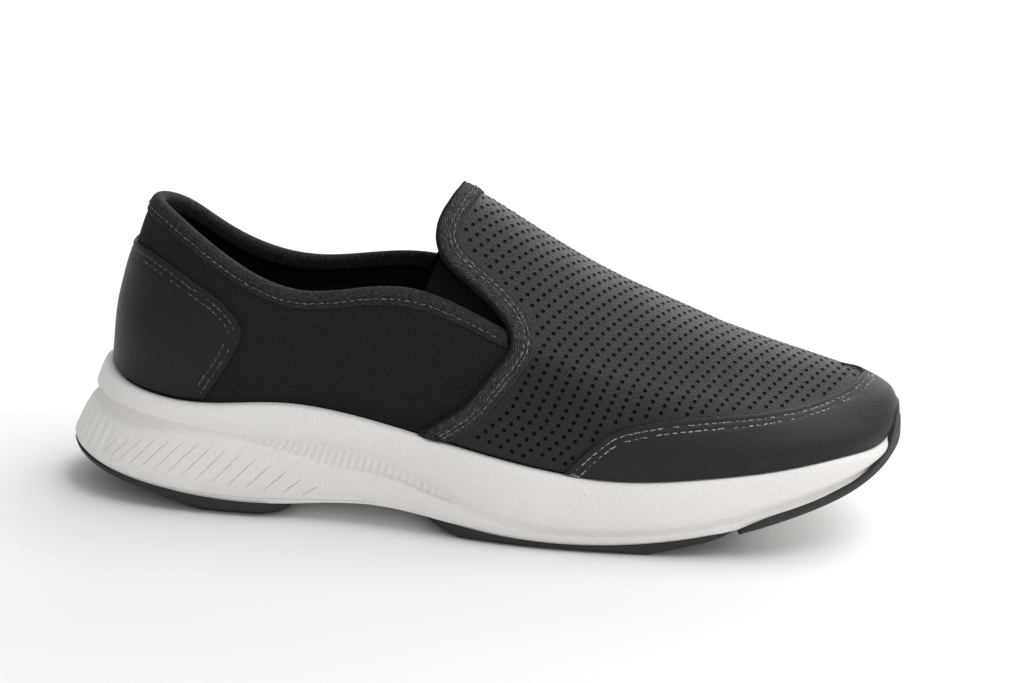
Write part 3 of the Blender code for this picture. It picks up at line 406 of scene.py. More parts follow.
def box_between(work, low, high, out, width, depth):
    """Adds a slim box to a mesh, from one point to another, half sunk below the surface that `out` leaves."""
    run = unit(high - low)
    across = unit(np.cross(run, out)) * width / 2
    deep = unit(np.cross(across, run)) * depth
    if np.dot(deep, out) < 0:
        deep = -deep
    corners = []
    for base in (low, high):
        for side in (-1, 1):
            for level in (-1, 1.5):
                corners.append(work.verts.new(base + across * side + deep * level))
    quads = ((0, 1, 3, 2), (4, 6, 7, 5), (0, 4, 5, 1), (2, 3, 7, 6), (0, 2, 6, 4), (1, 5, 7, 3))
    for quad in quads:
        work.faces.new([corners[i] for i in quad])


def collar_base(at):
    """Height share of the lower edge of the collar roll on a rib."""
    top = form_base(at, V_COLLAR)
    lower = form_base(at, V_COLLAR - 0.05)
    pace = np.linalg.norm(top - lower, axis=-1) / 0.05
    return V_COLLAR - COLLAR_HEIGHT / pace


def upper_top(at):
    """Height share of the upper's top edge: under the collar roll, then across the instep at the throat."""
    station = np.where(at > TOE, LOOP - at, at)
    quarter = collar_base(at) - LAYER_GAP / COLLAR_RISE
    share = np.clip((station - VEE_STATION) / (THROAT_STATION - VEE_STATION), 0, 1)
    return quarter + (1 - quarter) * share


def edge_station(up, side):
    column = "along" if side > 0 else "medial_along"
    along = table_curve(VAMP_EDGE["up"], VAMP_EDGE[column])(up)
    return station_at(along, up, side)


def walk(at, up, direction, distance, steps=4):
    """Moves places over the form by a distance along a direction."""
    for _ in range(steps):
        small = 0.01
        low = np.clip(up - small, 0, 1 - 2 * small)
        high = low + 2 * small
        run = (form_base(at + small, low) - form_base(at - small, low)) / (2 * small)
        rise = (form_base(at, high) - form_base(at, low)) / (high - low)[:, None]
        aim = direction * distance / steps
        a, b, c = (run * run).sum(1), (run * rise).sum(1), (rise * rise).sum(1)
        p, q = (run * aim).sum(1), (rise * aim).sum(1)
        det = a * c - b * b
        at = at + (p * c - q * b) / det
        up = up + (q * a - p * b) / det
    return at, up



class ShoeSizes(bpy.types.PropertyGroup):
    """Sizes of the small work on the upper."""

    hole_pitch: FloatProperty(
        name="Hole pitch", description="Between holes of a row", default=0.0042, unit="LENGTH"
    )
    hole_row: FloatProperty(
        name="Hole rows", description="Between rows of holes", default=0.0032, unit="LENGTH"
    )
    hole_radius: FloatProperty(
        name="Hole radius", description="Of a punched hole", default=0.00066, unit="LENGTH"
    )
    hole_margin: FloatProperty(
        name="Hole margin", description="From the seams to the holes", default=0.0017, unit="LENGTH"
    )
    stitch_length: FloatProperty(
        name="Stitch", description="Length of a stitch", default=0.0022, unit="LENGTH"
    )
    stitch_gap: FloatProperty(
        name="Stitch gap", description="Between two stitches", default=0.0005, unit="LENGTH"
    )
    stitch_width: FloatProperty(
        name="Thread", description="Width of the thread", default=0.00046, unit="LENGTH"
    )
    rib_pitch: FloatProperty(
        name="Sole ribs", description="Between ribs of the band", default=0.0027, unit="LENGTH"
    )


class ShoeColours(bpy.types.PropertyGroup):
    """Colours of the finishes."""

    foam: FloatVectorProperty(
        name="Foam", description="Sole foam", subtype="COLOR", size=3, default=(0.88, 0.857, 0.834)
    )
    rubber: FloatVectorProperty(
        name="Rubber", description="Sole rubber", subtype="COLOR", size=3, default=(0.026, 0.0255, 0.0245)
    )
    vamp: FloatVectorProperty(
        name="Vamp", description="Punched leather", subtype="COLOR", size=3, default=(0.0135, 0.0131, 0.0124)
    )
    leather: FloatVectorProperty(
        name="Overlays",
        description="Smooth leather",
        subtype="COLOR",
        size=3,
        default=(0.0105, 0.0102, 0.0097),
    )
    twill: FloatVectorProperty(
        name="Quarters", description="Twill cloth", subtype="COLOR", size=3, default=(0.0135, 0.0132, 0.0126)
    )
    knit: FloatVectorProperty(
        name="Collar",
        description="Knit of the collar",
        subtype="COLOR",
        size=3,
        default=(0.0175, 0.0171, 0.0163),
    )
    tape: FloatVectorProperty(
        name="Tape", description="Ribbed tape", subtype="COLOR", size=3, default=(0.031, 0.0302, 0.0289)
    )
    thread: FloatVectorProperty(
        name="Thread", description="Light thread", subtype="COLOR", size=3, default=(0.36, 0.35, 0.335)
    )
    lining: FloatVectorProperty(
        name="Lining",
        description="Inside of the shoe",
        subtype="COLOR",
        size=3,
        default=(0.0045, 0.0045, 0.0044),
    )


def sizes():
    return bpy.context.scene.shoe_sizes


def colours():
    return bpy.context.scene.shoe_colours


# Nodes
def wire(tree, target, value):
    """Sets a socket, or joins it to another."""
    if isinstance(value, bpy.types.NodeSocket):
        tree.links.new(value, target)
    else:
        target.default_value = value


def node(tree, kind, inputs=None, **settings):
    made = tree.nodes.new(kind)
    for name, value in settings.items():
        setattr(made, name, value)
    for name, value in (inputs or {}).items():
        wire(tree, made.inputs[name], value)
    return made


def maths(tree, operation, a, b=0.0, c=0.0):
    made = tree.nodes.new("ShaderNodeMath")
    made.operation = operation
    for socket, value in zip(made.inputs, (a, b, c)):
        wire(tree, socket, value)
    return made.outputs[0]


def spread(tree, value, low, high, new_low=0.0, new_high=1.0):
    made = node(
        tree,
        "ShaderNodeMapRange",
        {"Value": value, "From Min": low, "From Max": high, "To Min": new_low, "To Max": new_high},
    )
    return made.outputs["Result"]


def blend_colour(tree, factor, first, second, kind="MIX"):
    made = tree.nodes.new("ShaderNodeMix")
    made.data_type = "RGBA"
    made.blend_type = kind
    wire(tree, made.inputs[0], factor)
    for socket, value in ((made.inputs[6], first), (made.inputs[7], second)):
        wire(tree, socket, value if isinstance(value, bpy.types.NodeSocket) else (*value, 1))
    return made.outputs[2]


def group(name, inputs, outputs):
    """Empty node group with named sockets; the caller fills it."""
    tree = bpy.data.node_groups.new(name, "ShaderNodeTree")
    for label, kind, default in inputs:
        socket = tree.interface.new_socket(name=label, in_out="INPUT", socket_type=kind)
        if default is not None:
            socket.default_value = default
    for label in outputs:
        tree.interface.new_socket(name=label, in_out="OUTPUT", socket_type="NodeSocketFloat")
    return tree, tree.nodes.new("NodeGroupInput"), tree.nodes.new("NodeGroupOutput")


def skin_grain_group():
    """Leather grain: small cells with soft creases between them, and a slow drift of tone."""
    tree, source, sink = group(
        "skin_grain",
        [
            ("Vector", "NodeSocketVector", None),
            ("Cell", "NodeSocketFloat", 1500.0),
            ("Drift", "NodeSocketFloat", 40.0),
        ],
        ["Height", "Tone"],
    )
    vector = source.outputs["Vector"]
    warp = node(
        tree, "ShaderNodeTexNoise", {"Vector": vector, "Scale": source.outputs["Cell"], "Detail": 3.0}
    )
    cells = node(
        tree, "ShaderNodeTexVoronoi", {"Vector": vector, "Scale": source.outputs["Cell"]}, feature="SMOOTH_F1"
    )
    wire(tree, sink.inputs["Height"], maths(tree, "ADD", cells.outputs["Distance"], warp.outputs["Fac"]))
    drift = node(
        tree,
        "ShaderNodeTexNoise",
        {"Vector": vector, "Scale": source.outputs["Drift"], "Detail": 4.0, "Roughness": 0.6},
    )
    wire(tree, sink.inputs["Tone"], drift.outputs["Fac"])
    return tree


def diagonal_weave_group():
    """Twill: slanted wales crossed by the weft, from a UV map in metres."""
    tree, source, sink = group(
        "diagonal_weave",
        [
            ("Vector", "NodeSocketVector", None),
            ("Wale", "NodeSocketFloat", 0.00105),
            ("Slant", "NodeSocketFloat", -0.62),
        ],
        ["Height", "Tone"],
    )
    parts = node(tree, "ShaderNodeSeparateXYZ", {"Vector": source.outputs["Vector"]})
    wobble = node(
        tree, "ShaderNodeTexNoise", {"Vector": source.outputs["Vector"], "Scale": 900.0, "Detail": 2.0}
    )
    shift = spread(tree, wobble.outputs["Fac"], 0.0, 1.0, -0.0006, 0.0006)
    slanted = maths(tree, "MULTIPLY_ADD", parts.outputs["X"], source.outputs["Slant"], parts.outputs["Y"])
    moved = maths(tree, "ADD", slanted, shift)
    turns = maths(tree, "MULTIPLY", maths(tree, "DIVIDE", moved, source.outputs["Wale"]), math.tau)
    wale = maths(tree, "SINE", turns)
    crossing = maths(tree, "DIVIDE", parts.outputs["X"], source.outputs["Wale"])
    weft = maths(tree, "SINE", maths(tree, "MULTIPLY", crossing, math.tau * 1.7))
    height = maths(tree, "MULTIPLY_ADD", weft, 0.55, wale)
    wire(tree, sink.inputs["Height"], height)
    drift = node(
        tree, "ShaderNodeTexNoise", {"Vector": source.outputs["Vector"], "Scale": 35.0, "Detail": 5.0}
    )
    wire(tree, sink.inputs["Tone"], drift.outputs["Fac"])
    return tree


def strands_group():
    """Yarn strands, slightly slanted to the first axis of a UV map in metres, broken where they dip."""
    tree, source, sink = group(
        "strands",
        [
            ("Vector", "NodeSocketVector", None),
            ("Along", "NodeSocketFloat", 420.0),
            ("Across", "NodeSocketFloat", 1200.0),
        ],
        ["Height", "Tone"],
    )
    parts = node(tree, "ShaderNodeSeparateXYZ", {"Vector": source.outputs["Vector"]})
    bend = node(
        tree, "ShaderNodeTexNoise", {"Vector": source.outputs["Vector"], "Scale": 700.0, "Detail": 2.0}
    )
    slanted = maths(tree, "MULTIPLY_ADD", parts.outputs["X"], 0.30, parts.outputs["Y"])
    count = maths(tree, "MULTIPLY", slanted, source.outputs["Across"])
    bent = maths(tree, "MULTIPLY_ADD", bend.outputs["Fac"], 1.6, count)
    turns = maths(tree, "MULTIPLY", bent, math.tau)
    yarn = maths(tree, "MULTIPLY_ADD", maths(tree, "SINE", turns), 0.5, 0.5)
    long_way = maths(tree, "MULTIPLY", parts.outputs["X"], source.outputs["Along"])
    place = node(tree, "ShaderNodeCombineXYZ", {"X": long_way, "Y": maths(tree, "FLOOR", count)})
    dips = node(
        tree,
        "ShaderNodeTexNoise",
        {"Vector": place.outputs["Vector"], "Scale": 1.0, "Detail": 2.0, "Roughness": 0.6},
    )
    broken = spread(tree, dips.outputs["Fac"], 0.38, 0.62, 0.15, 1.0)
    height = maths(tree, "MULTIPLY", yarn, broken)
    wire(tree, sink.inputs["Height"], height)
    # The tone is the height itself: as colour it is painted shade in the yarn's dips and a painted highlight
    # on its crowns.
    wire(tree, sink.inputs["Tone"], height)
    return tree


GROUPS = {}


def placed_group(tree, name, **inputs):
    makers = {
        "skin_grain": skin_grain_group, "diagonal_weave": diagonal_weave_group, "strands": strands_group
    }
    if name not in GROUPS:
        GROUPS[name] = makers[name]()
    made = tree.nodes.new("ShaderNodeGroup")
    made.node_tree = GROUPS[name]
    for label, value in inputs.items():
        wire(tree, made.inputs[label], value)
    return made


def surface(name, colour, roughness, specular=0.5):
    """Material with one Principled shader, and the sockets that its finish feeds."""
    made = bpy.data.materials.new(name)
    made.use_nodes = True
    tree = made.node_tree
    shader = tree.nodes["Principled BSDF"]
    shader.inputs["Base Color"].default_value = (*colour, 1)
    shader.inputs["Roughness"].default_value = roughness
    shader.inputs["Specular IOR Level"].default_value = specular
    return made, tree, shader


def bumped(tree, shader, height, strength, distance):
    bump = node(tree, "ShaderNodeBump", {"Height": height, "Strength": strength, "Distance": distance})
    wire(tree, shader.inputs["Normal"], bump.outputs["Normal"])


def toned(tree, shader, factor, colour, low, high):
    """Base colour that drifts between two shares of itself."""
    darker = tuple(channel * low for channel in colour)
    lighter = tuple(min(1.0, channel * high) for channel in colour)
    wire(tree, shader.inputs["Base Color"], blend_colour(tree, factor, darker, lighter))


def object_vector(tree):
    return tree.nodes.new("ShaderNodeTexCoord").outputs["Object"]


def uv_vector(tree):
    return node(tree, "ShaderNodeUVMap", uv_map="UVMap").outputs["UV"]


def leather_finish(name, colour, roughness, cell, relief):
    made, tree, shader = surface(name, colour, roughness, 0.30)
    shader.inputs["Sheen Weight"].default_value = 0.16
    shader.inputs["Sheen Roughness"].default_value = 0.30
    grain = placed_group(tree, "skin_grain", Vector=object_vector(tree), Cell=cell)
    toned(tree, shader, grain.outputs["Tone"], colour, 0.82, 1.18)
    wire(
        tree,
        shader.inputs["Roughness"],
        spread(tree, grain.outputs["Tone"], 0.2, 0.8, roughness + 0.05, roughness - 0.05),
    )
    bumped(tree, shader, grain.outputs["Height"], 0.85, relief)
    return made


def twill_finish():
    colour = tuple(colours().twill)
    made, tree, shader = surface("quarter_twill", colour, 0.80, 0.16)
    weave = placed_group(tree, "diagonal_weave", Vector=uv_vector(tree))
    ridge = spread(tree, weave.outputs["Height"], -1.2, 1.2, 0.0, 1.0)
    # Painted shade and highlight: the cloth's colour runs from 0.40 in the twill's grooves to 2.0 on its
    # wales, with their height.
    toned(tree, shader, ridge, colour, 0.40, 2.0)
    bumped(tree, shader, weave.outputs["Height"], 0.8, 0.00014)
    return made


def strand_finish(name, colour, along, across, relief):
    made, tree, shader = surface(name, colour, 0.80, 0.25)
    yarn = placed_group(tree, "strands", Vector=uv_vector(tree), Along=along, Across=across)
    # Painted shade and highlight: the yarn's colour runs from 0.28 in its dips to 3.4 on its crowns, with its
    # height.
    toned(tree, shader, yarn.outputs["Tone"], colour, 0.28, 3.4)
    bumped(tree, shader, yarn.outputs["Height"], 0.8, relief)
    return made


def foam_finish():
    colour = tuple(colours().foam)
    made, tree, shader = surface("sole_foam_skin", colour, 0.62, 0.35)
    grain = placed_group(tree, "skin_grain", Vector=object_vector(tree), Cell=900.0, Drift=18.0)
    toned(tree, shader, grain.outputs["Tone"], colour, 0.92, 1.04)
    bumped(tree, shader, grain.outputs["Height"], 0.55, 0.00036)
    return made


def rubber_finish():
    colour = tuple(colours().rubber)
    made, tree, shader = surface("sole_rubber_skin", colour, 0.62, 0.35)
    grain = placed_group(tree, "skin_grain", Vector=object_vector(tree), Cell=1300.0, Drift=1400.0)
    toned(tree, shader, grain.outputs["Tone"], colour, 0.55, 1.5)
    bumped(tree, shader, grain.outputs["Height"], 0.6, 0.00035)
    return made


def thread_finish(name, share):
    colour = tuple(channel * share for channel in colours().thread)
    made, tree, shader = surface(name, colour, 0.75, 0.25)
    twist = node(tree, "ShaderNodeTexNoise", {"Vector": object_vector(tree), "Scale": 900.0, "Detail": 4.0})
    toned(tree, shader, spread(tree, twist.outputs["Fac"], 0.35, 0.65), colour, 0.22, 1.75)
    bumped(tree, shader, twist.outputs["Fac"], 0.5, 0.0001)
    return made


def plain_cloth_finish(name, colour, scale):
    made, tree, shader = surface(name, colour, 0.95, 0.08)
    noise = node(tree, "ShaderNodeTexNoise", {"Vector": object_vector(tree), "Scale": scale, "Detail": 4.0})
    toned(tree, shader, noise.outputs["Fac"], colour, 0.6, 1.5)
    bumped(tree, shader, noise.outputs["Fac"], 0.35, 0.0002)
    return made


FINISHES = {}


def finish(name):
    """The material of that name, made once."""
    makers = {
        "vamp": lambda: leather_finish("vamp_leather", tuple(colours().vamp), 0.46, 1900.0, 0.00034),
        # Painted shade: the heel counter takes the overlays' leather darkened to 0.55, for the shade at the
        # rear of the heel.
        "counter": lambda: leather_finish(
            "counter_leather_painted_shade", tuple(c * 0.55 for c in colours().leather), 0.52, 2300.0, 0.00016
        ),
        "tape_thread": lambda: thread_finish("tape_thread", 0.42),
        "leather": lambda: leather_finish("overlay_leather", tuple(colours().leather), 0.46, 2300.0, 0.00022),
        "twill": twill_finish,
        "knit": lambda: strand_finish("collar_knit", tuple(colours().knit), 520.0, 1250.0, 0.00020),
        "tape": lambda: strand_finish("vamp_tape", tuple(colours().tape), 420.0, 1150.0, 0.00030),
        "foam": foam_finish,
        "rubber": rubber_finish,
        "thread": lambda: thread_finish("light_thread", 0.85),
        "dark_thread": lambda: thread_finish("dark_thread", 0.30),
        "lining": lambda: plain_cloth_finish("inner_lining", tuple(colours().lining), 1500.0),
        "elastic": lambda: plain_cloth_finish("gore_elastic", tuple(colours().lining), 2200.0),
        "hem": lambda: strand_finish(
            "tape_hem", tuple(c * 0.7 for c in colours().tape), 420.0, 1150.0, 0.00020
        ),
        "piping": lambda: plain_cloth_finish("tape_piping", tuple(c * 1.6 for c in colours().tape), 1800.0),
        # Painted shade: the dark disc inside each punched hole.
        "hole": lambda: plain_cloth_finish("hole_shadow", (0.003, 0.003, 0.003), 3000.0),
    }
    if name not in FINISHES:
        FINISHES[name] = makers[name]()
    return FINISHES[name]


# Meshes
def deselect():
    bpy.ops.object.select_all(action="DESELECT")


def apply_modifiers(obj):
    deselect()
    obj.select_set(True)
    bpy.context.view_layer.objects.active = obj
    for modifier in list(obj.modifiers):
        bpy.ops.object.modifier_apply(modifier=modifier.name)


def finished(obj, slot, *replaced):
    """Last step of a piece: it rides with the shoe and stands for its plain solids."""
    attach(obj, "root")
    if replaced:
        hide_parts(*replaced)
    return obj


def sheet_piece(name, columns, rows, place, finishes, flip=False):
    """Grid laid on the form. `place` gives its points for column and row shares from 0 to 1."""
    deselect()
    bpy.ops.mesh.primitive_grid_add(x_subdivisions=columns, y_subdivisions=rows, size=2)
    obj = bpy.context.object
    obj.name = obj.data.name = name
    mesh = obj.data
    flat = np.empty(len(mesh.vertices) * 3)
    mesh.vertices.foreach_get("co", flat)
    flat = flat.reshape(-1, 3)
    column = np.rint((flat[:, 0] + 1) / 2 * columns).astype(int)
    row = np.rint((flat[:, 1] + 1) / 2 * rows).astype(int)
    across = np.linspace(0, 1, columns + 1)
    up = np.linspace(0, 1, rows + 1)
    points = place(
        np.broadcast_to(across[None, :], (rows + 1, columns + 1)),
        np.broadcast_to(up[:, None], (rows + 1, columns + 1)),
    )
    mesh.vertices.foreach_set("co", points[row, column].ravel())
    runs = np.linalg.norm(np.diff(points, axis=1), axis=-1)
    rises = np.linalg.norm(np.diff(points, axis=0), axis=-1)
    u = np.concatenate(
        [np.zeros((rows + 1, 1)), np.cumsum(np.broadcast_to(runs.mean(0), runs.shape), axis=1)], axis=1
    )
    v = np.concatenate([np.zeros((1, columns + 1)), np.cumsum(rises, axis=0)], axis=0)
    corners = np.empty(len(mesh.loops), int)
    mesh.loops.foreach_get("vertex_index", corners)
    chart = np.stack([u[row, column], v[row, column]], axis=1)[corners]
    mesh.uv_layers.active.data.foreach_set("uv", chart.ravel())
    mesh.uv_layers.active.name = "UVMap"
    for surface_name in finishes:
        mesh.materials.append(finish(surface_name))
    if flip:
        mesh.flip_normals()
    mesh.update()
    mesh.shade_smooth()
    return obj


def close_doubles(obj, distance=0.00002):
    work = bmesh.new()
    work.from_mesh(obj.data)
    bmesh.ops.remove_doubles(work, verts=work.verts, dist=distance)
    work.to_mesh(obj.data)
    work.free()
    obj.data.shade_smooth()


def walled(obj, thickness, inner=0, rim=0):
    """Gives a sheet its thickness, inwards."""
    modifier = obj.modifiers.new("wall", "SOLIDIFY")
    modifier.thickness = thickness
    modifier.offset = -1
    modifier.use_even_offset = False
    modifier.material_offset = inner
    modifier.material_offset_rim = rim
    apply_modifiers(obj)


def joined(name, parts, finishes, slot):
    """One object from several lists of points and faces."""
    mesh = bpy.data.meshes.new(name)
    points, faces, kinds = [], [], []
    count = 0
    for part_points, part_faces, kind in parts:
        points.append(part_points)
        faces += [tuple(i + count for i in face) for face in part_faces]
        kinds += [kind] * len(part_faces)
        count += len(part_points)
    mesh.from_pydata(np.concatenate(points).tolist(), [], faces)
    for surface_name in finishes:
        mesh.materials.append(finish(surface_name))
    mesh.polygons.foreach_set("material_index", kinds)
    mesh.update()
    mesh.shade_smooth()
    return finished(linked(name, mesh), slot)


def linked(name, mesh):
    """New object for a mesh, in the scene."""
    obj = bpy.data.objects.new(name, mesh)
    bpy.context.scene.collection.objects.link(obj)
    return obj


def from_bmesh(name, work):
    """New object from a mesh in work, with all its faces turned outwards."""
    bmesh.ops.recalc_face_normals(work, faces=work.faces)
    mesh = bpy.data.meshes.new(name)
    work.to_mesh(mesh)
    work.free()
    return linked(name, mesh)


def cut_by(obj, cutter):
    """Takes a cutter out of a piece and removes it."""
    cut = obj.modifiers.new("cut", "BOOLEAN")
    cut.object = cutter
    cut.operation = "DIFFERENCE"
    cut.solver = "EXACT"
    apply_modifiers(obj)
    bpy.data.objects.remove(cutter)


def smooth_by_angle(obj, degrees):
    deselect()
    obj.select_set(True)
    bpy.context.view_layer.objects.active = obj
    bpy.ops.object.shade_smooth_by_angle(angle=math.radians(degrees))


def edge_tree(points):
    tree = KDTree(len(points))
    for number, point in enumerate(points):
        tree.insert(point, number)
    tree.balance()
    return tree


def distance_to(tree, points):
    flat = points.reshape(-1, 3)
    return np.array([tree.find(point)[2] for point in flat]).reshape(points.shape[:-1])


def swell(distance, centre, width, height):
    """Soft ridge (or trough, below zero) along a line at a distance from an edge."""
    return height * np.exp(-(((distance - centre) / width) ** 2))


def inset_path(at, up, distance, side=1):
    """Path on the form at a distance beside another one."""
    wide = np.where(up > 1, LOOP - at, at)
    high = np.where(up > 1, 2 - up, up)
    points = form_base(wide, high)
    run = unit(np.gradient(points, axis=0))
    inward = unit(np.cross(run, side_normal(wide, high))) * side
    moved_at, moved_up = walk(wide, high, inward, distance)
    over = moved_up > 1
    return np.where(over, LOOP - moved_at, moved_at), np.where(over, 2 - moved_up, moved_up)


def resampled(at, up, lift, pitch):
    """Places at an even pitch along a path on the form: points, directions and normals."""
    points = form(at, up, lift)
    steps = np.linalg.norm(np.diff(points, axis=0), axis=1)
    length = np.concatenate([[0], np.cumsum(steps)])
    count = max(1, int(length[-1] / pitch))
    marks = (np.arange(count) + 0.5) * length[-1] / count
    normal = side_normal(at, up)
    middle = np.stack([np.interp(marks, length, points[:, k]) for k in range(3)], axis=1)
    ahead = np.stack([np.interp(marks + pitch / 4, length, points[:, k]) for k in range(3)], axis=1)
    back = np.stack([np.interp(marks - pitch / 4, length, points[:, k]) for k in range(3)], axis=1)
    out = unit(np.stack([np.interp(marks, length, normal[:, k]) for k in range(3)], axis=1))
    return middle, unit(ahead - back), out


def bead():
    """One stitch, one unit long: a capsule with flattened ends, half of it below the surface."""
    deselect()
    bpy.ops.mesh.primitive_uv_sphere_add(segments=6, ring_count=5, radius=0.5)
    obj = bpy.context.object
    points = np.array([v.co for v in obj.data.vertices])
    faces = [tuple(f.vertices) for f in obj.data.polygons]
    bpy.data.objects.remove(obj)
    turned = points[:, [2, 0, 1]]
    turned[:, 0] = np.sign(turned[:, 0]) * np.abs(turned[:, 0] * 2) ** 0.6 / 2
    return turned, faces


# Unevenness of the stitches: turn, shift in widths, sinking in heights, and spread of the lengths.
UNEVEN = {"turn": 0.09, "shift": 0.12, "sink": 0.28, "length": 0.20}
STITCH_SHARE = {"middle": 0.95, "least": 0.45, "most": 1.2}


def stitches(middle, along, out, length, width, height, slant=0.0):
    """Points and faces of a row of stitches."""
    shape, faces = bead()
    side = np.cross(out, along)
    uneven = np.random.default_rng(len(middle)).normal(0.0, 1.0, (len(middle), 4))
    along = unit(along + side * (slant + UNEVEN["turn"] * uneven[:, :1]))
    shift = width * UNEVEN["shift"] * uneven[:, 1:2]
    sink = height * UNEVEN["sink"] * uneven[:, 2:3]
    middle = middle + side * shift + out * sink
    share = STITCH_SHARE["middle"] + UNEVEN["length"] * uneven[:, 3]
    length = (length * np.clip(share, STITCH_SHARE["least"], STITCH_SHARE["most"]))[:, None, None]
    side = unit(np.cross(out, along))
    out = np.cross(along, side)
    points = (
        middle[:, None, :]
        + along[:, None, :] * (shape[None, :, 0:1] * length)
        + side[:, None, :] * (shape[None, :, 1:2] * width)
        + out[:, None, :] * (shape[None, :, 2:3] * height)
    )
    count = len(shape)
    all_faces = [tuple(i + n * count for i in face) for n in range(len(middle)) for face in faces]
    return points.reshape(-1, 3), all_faces


def cord_along(at, up, lift, tall, wide, sides=6):
    """Points and faces of a thin raised line along a path on the form."""
    return rod(form(at, up, lift), side_normal(at, up), tall, wide, sides)


def rod(points, out, tall, wide, sides):
    """Points and faces of a rod through points; `tall` is its half height along `out`."""
    along = unit(np.gradient(points, axis=0))
    side = np.cross(out, along)
    rings = []
    for k in range(sides):
        angle = math.tau * k / sides
        rings.append(points + out * math.cos(angle) * tall + side * math.sin(angle) * wide)
    count = len(points)
    faces = []
    for k in range(sides):
        n = (k + 1) % sides
        faces += [
            (k * count + i, n * count + i, n * count + i + 1, k * count + i + 1) for i in range(count - 1)
        ]
    faces.append(tuple(k * count for k in reversed(range(sides))))
    faces.append(tuple(k * count + count - 1 for k in range(sides)))
    return np.concatenate(rings), faces


# Edges of the panels, as paths on the form
def vamp_edge_path(count=241):
    across = np.linspace(-1 + SOLE_CLEAR, 1 - SOLE_CLEAR, count)
    up = 1 - np.abs(across)
    station = np.where(across < 0, edge_station(up, 1), edge_station(up, -1))
    return np.where(across < 0, station, LOOP - station), up


def cap_edge(station):
    """Height share of the toe cap's rear edge."""
    return table_curve(CAP_EDGE["station"], CAP_EDGE["up"])(np.minimum(station, LOOP - station))


def cap_edge_path(count=241):
    station = np.linspace(CAP_EDGE["station"][0], 2 * TOE - CAP_EDGE["station"][0], count)
    return station, cap_edge(station)


def counter_edge_path(count=60):
    share = np.linspace(0, 1, count)
    reach = table_curve(COUNTER_REACH["share"], COUNTER_REACH["station"])(share)
    top = table_curve(COUNTER_TOP["share"], COUNTER_TOP["up"])
    rise = SOLE_CLEAR + (float(top(1.0)) - SOLE_CLEAR) * share
    across = np.linspace(1, -1, 2 * count)[1:-1]
    at = np.concatenate([reach, across * reach[-1], -reach[::-1]])
    up = np.concatenate([rise, top(np.abs(across)), rise[::-1]])
    return at, up


# Overlays: how much thinner their edge is and how far in that reaches; the fold behind the edge, with its
# inset, width and height; the insets of the two rows of stitches; and the width and height of their troughs.
EDGE_THINNING = 0.0007
EDGE_REACH = 0.0045
EDGE_FOLD = (0.0007, 0.0006, 0.00020)
OVERLAY_ROWS = (0.0022, 0.0043)
ROW_TROUGH = (0.0005, -0.00022)


def cap_lift(distance):
    """Height of an overlay over its own face: a turned edge, and a trough along each row of stitches."""
    thin = -EDGE_THINNING * np.exp(-distance / EDGE_REACH)
    troughs = sum(swell(distance, row, *ROW_TROUGH) for row in OVERLAY_ROWS)
    return thin + swell(distance, *EDGE_FOLD) + troughs


# Height share by which the quarter reaches under the collar roll, and share of its rows in the sole's cup.
ROLL_OVERLAP = 0.030
CUP_ROWS = 0.08


class SHOE_OT_upper(bpy.types.Operator):
    """Fine skin of the hollow upper: twill outside, dark lining inside"""

    bl_idname = "shoe.upper"
    bl_label = "Upper"

    def execute(self, context):
        halves = []
        for side in (1, -1):
            def place(across, up, side=side):
                station = across * TOE
                at = station if side > 0 else LOOP - station
                top = np.where(station < VEE_STATION, upper_top(at) + ROLL_OVERLAP, upper_top(at))
                height = np.where(up < CUP_ROWS, -1 + up / CUP_ROWS, (up - CUP_ROWS) / (1 - CUP_ROWS) * top)
                lift = WALL_OUT + quarter_folds(at, height)
                return form(at, height, lift)
            obj = sheet_piece("upper_half", 190, 56, place, ["twill", "lining"], flip=side < 0)
            halves.append(obj)
        deselect()
        for obj in halves:
            obj.select_set(True)
        context.view_layer.objects.active = halves[0]
        bpy.ops.object.join()
        obj = context.object
        obj.name = obj.data.name = "upper_skin"
        close_doubles(obj)
        walled(obj, WALL, inner=1, rim=1)
        obj.data.shade_smooth()
        finished(obj, "twill_textile", "upper")
        return {"FINISHED"}


def quarter_folds(at, up):
    """Soft folds of the quarter cloth: shallow troughs below the collar, in metres out of the form."""
    station = np.where(at > TOE, LOOP - at, at)
    fold = np.zeros(np.shape(at))
    for centre, height, lean, width, depth in QUARTER_FOLDS:
        line = height + lean * (station - centre)
        reach = np.exp(-(((station - centre) / 1.0) ** 2))
        fold = fold + depth * reach * np.exp(-(((up - line) / width) ** 2))
    return fold


# Folds: station of the middle, height there, rise for each station, width in height shares, depth in metres.
QUARTER_FOLDS = (
    (4.6, 0.400, -0.010, 0.016, -0.00035),
    (4.9, 0.355, -0.020, 0.018, 0.00025),
    (3.9, 0.33, 0.030, 0.030, -0.00030),
    (5.4, 0.22, 0.040, 0.035, -0.00025),
)


# How much closer together the rows of a skin lie towards its far edge.
VAMP_CROWDING = 1.15
CAP_CROWDING = 1.3


class SHOE_OT_vamp(bpy.types.Operator):
    """Fine skin of the punched vamp"""

    bl_idname = "shoe.vamp"
    bl_label = "Vamp"

    def execute(self, context):
        def place(across, up):
            span = across * 2 - 1
            height = np.maximum(1 - np.abs(span), SOLE_CLEAR)
            column = span[0]
            level = height[0]
            start = np.where(column < 0, edge_station(level, 1), edge_station(level, -1))[None, :]
            share = 1 - (1 - up) ** VAMP_CROWDING
            station = start + (TOE - start) * share
            at = np.where(span < 0, station, LOOP - station)
            return form(at, height, vamp_creases(at, height))

        obj = sheet_piece("vamp_skin", 170, 110, place, ["vamp"], flip=True)
        close_doubles(obj)
        walled(obj, VAMP_THICK)
        obj.data.shade_smooth()
        finished(obj, "perforated_leather", "vamp")
        return {"FINISHED"}


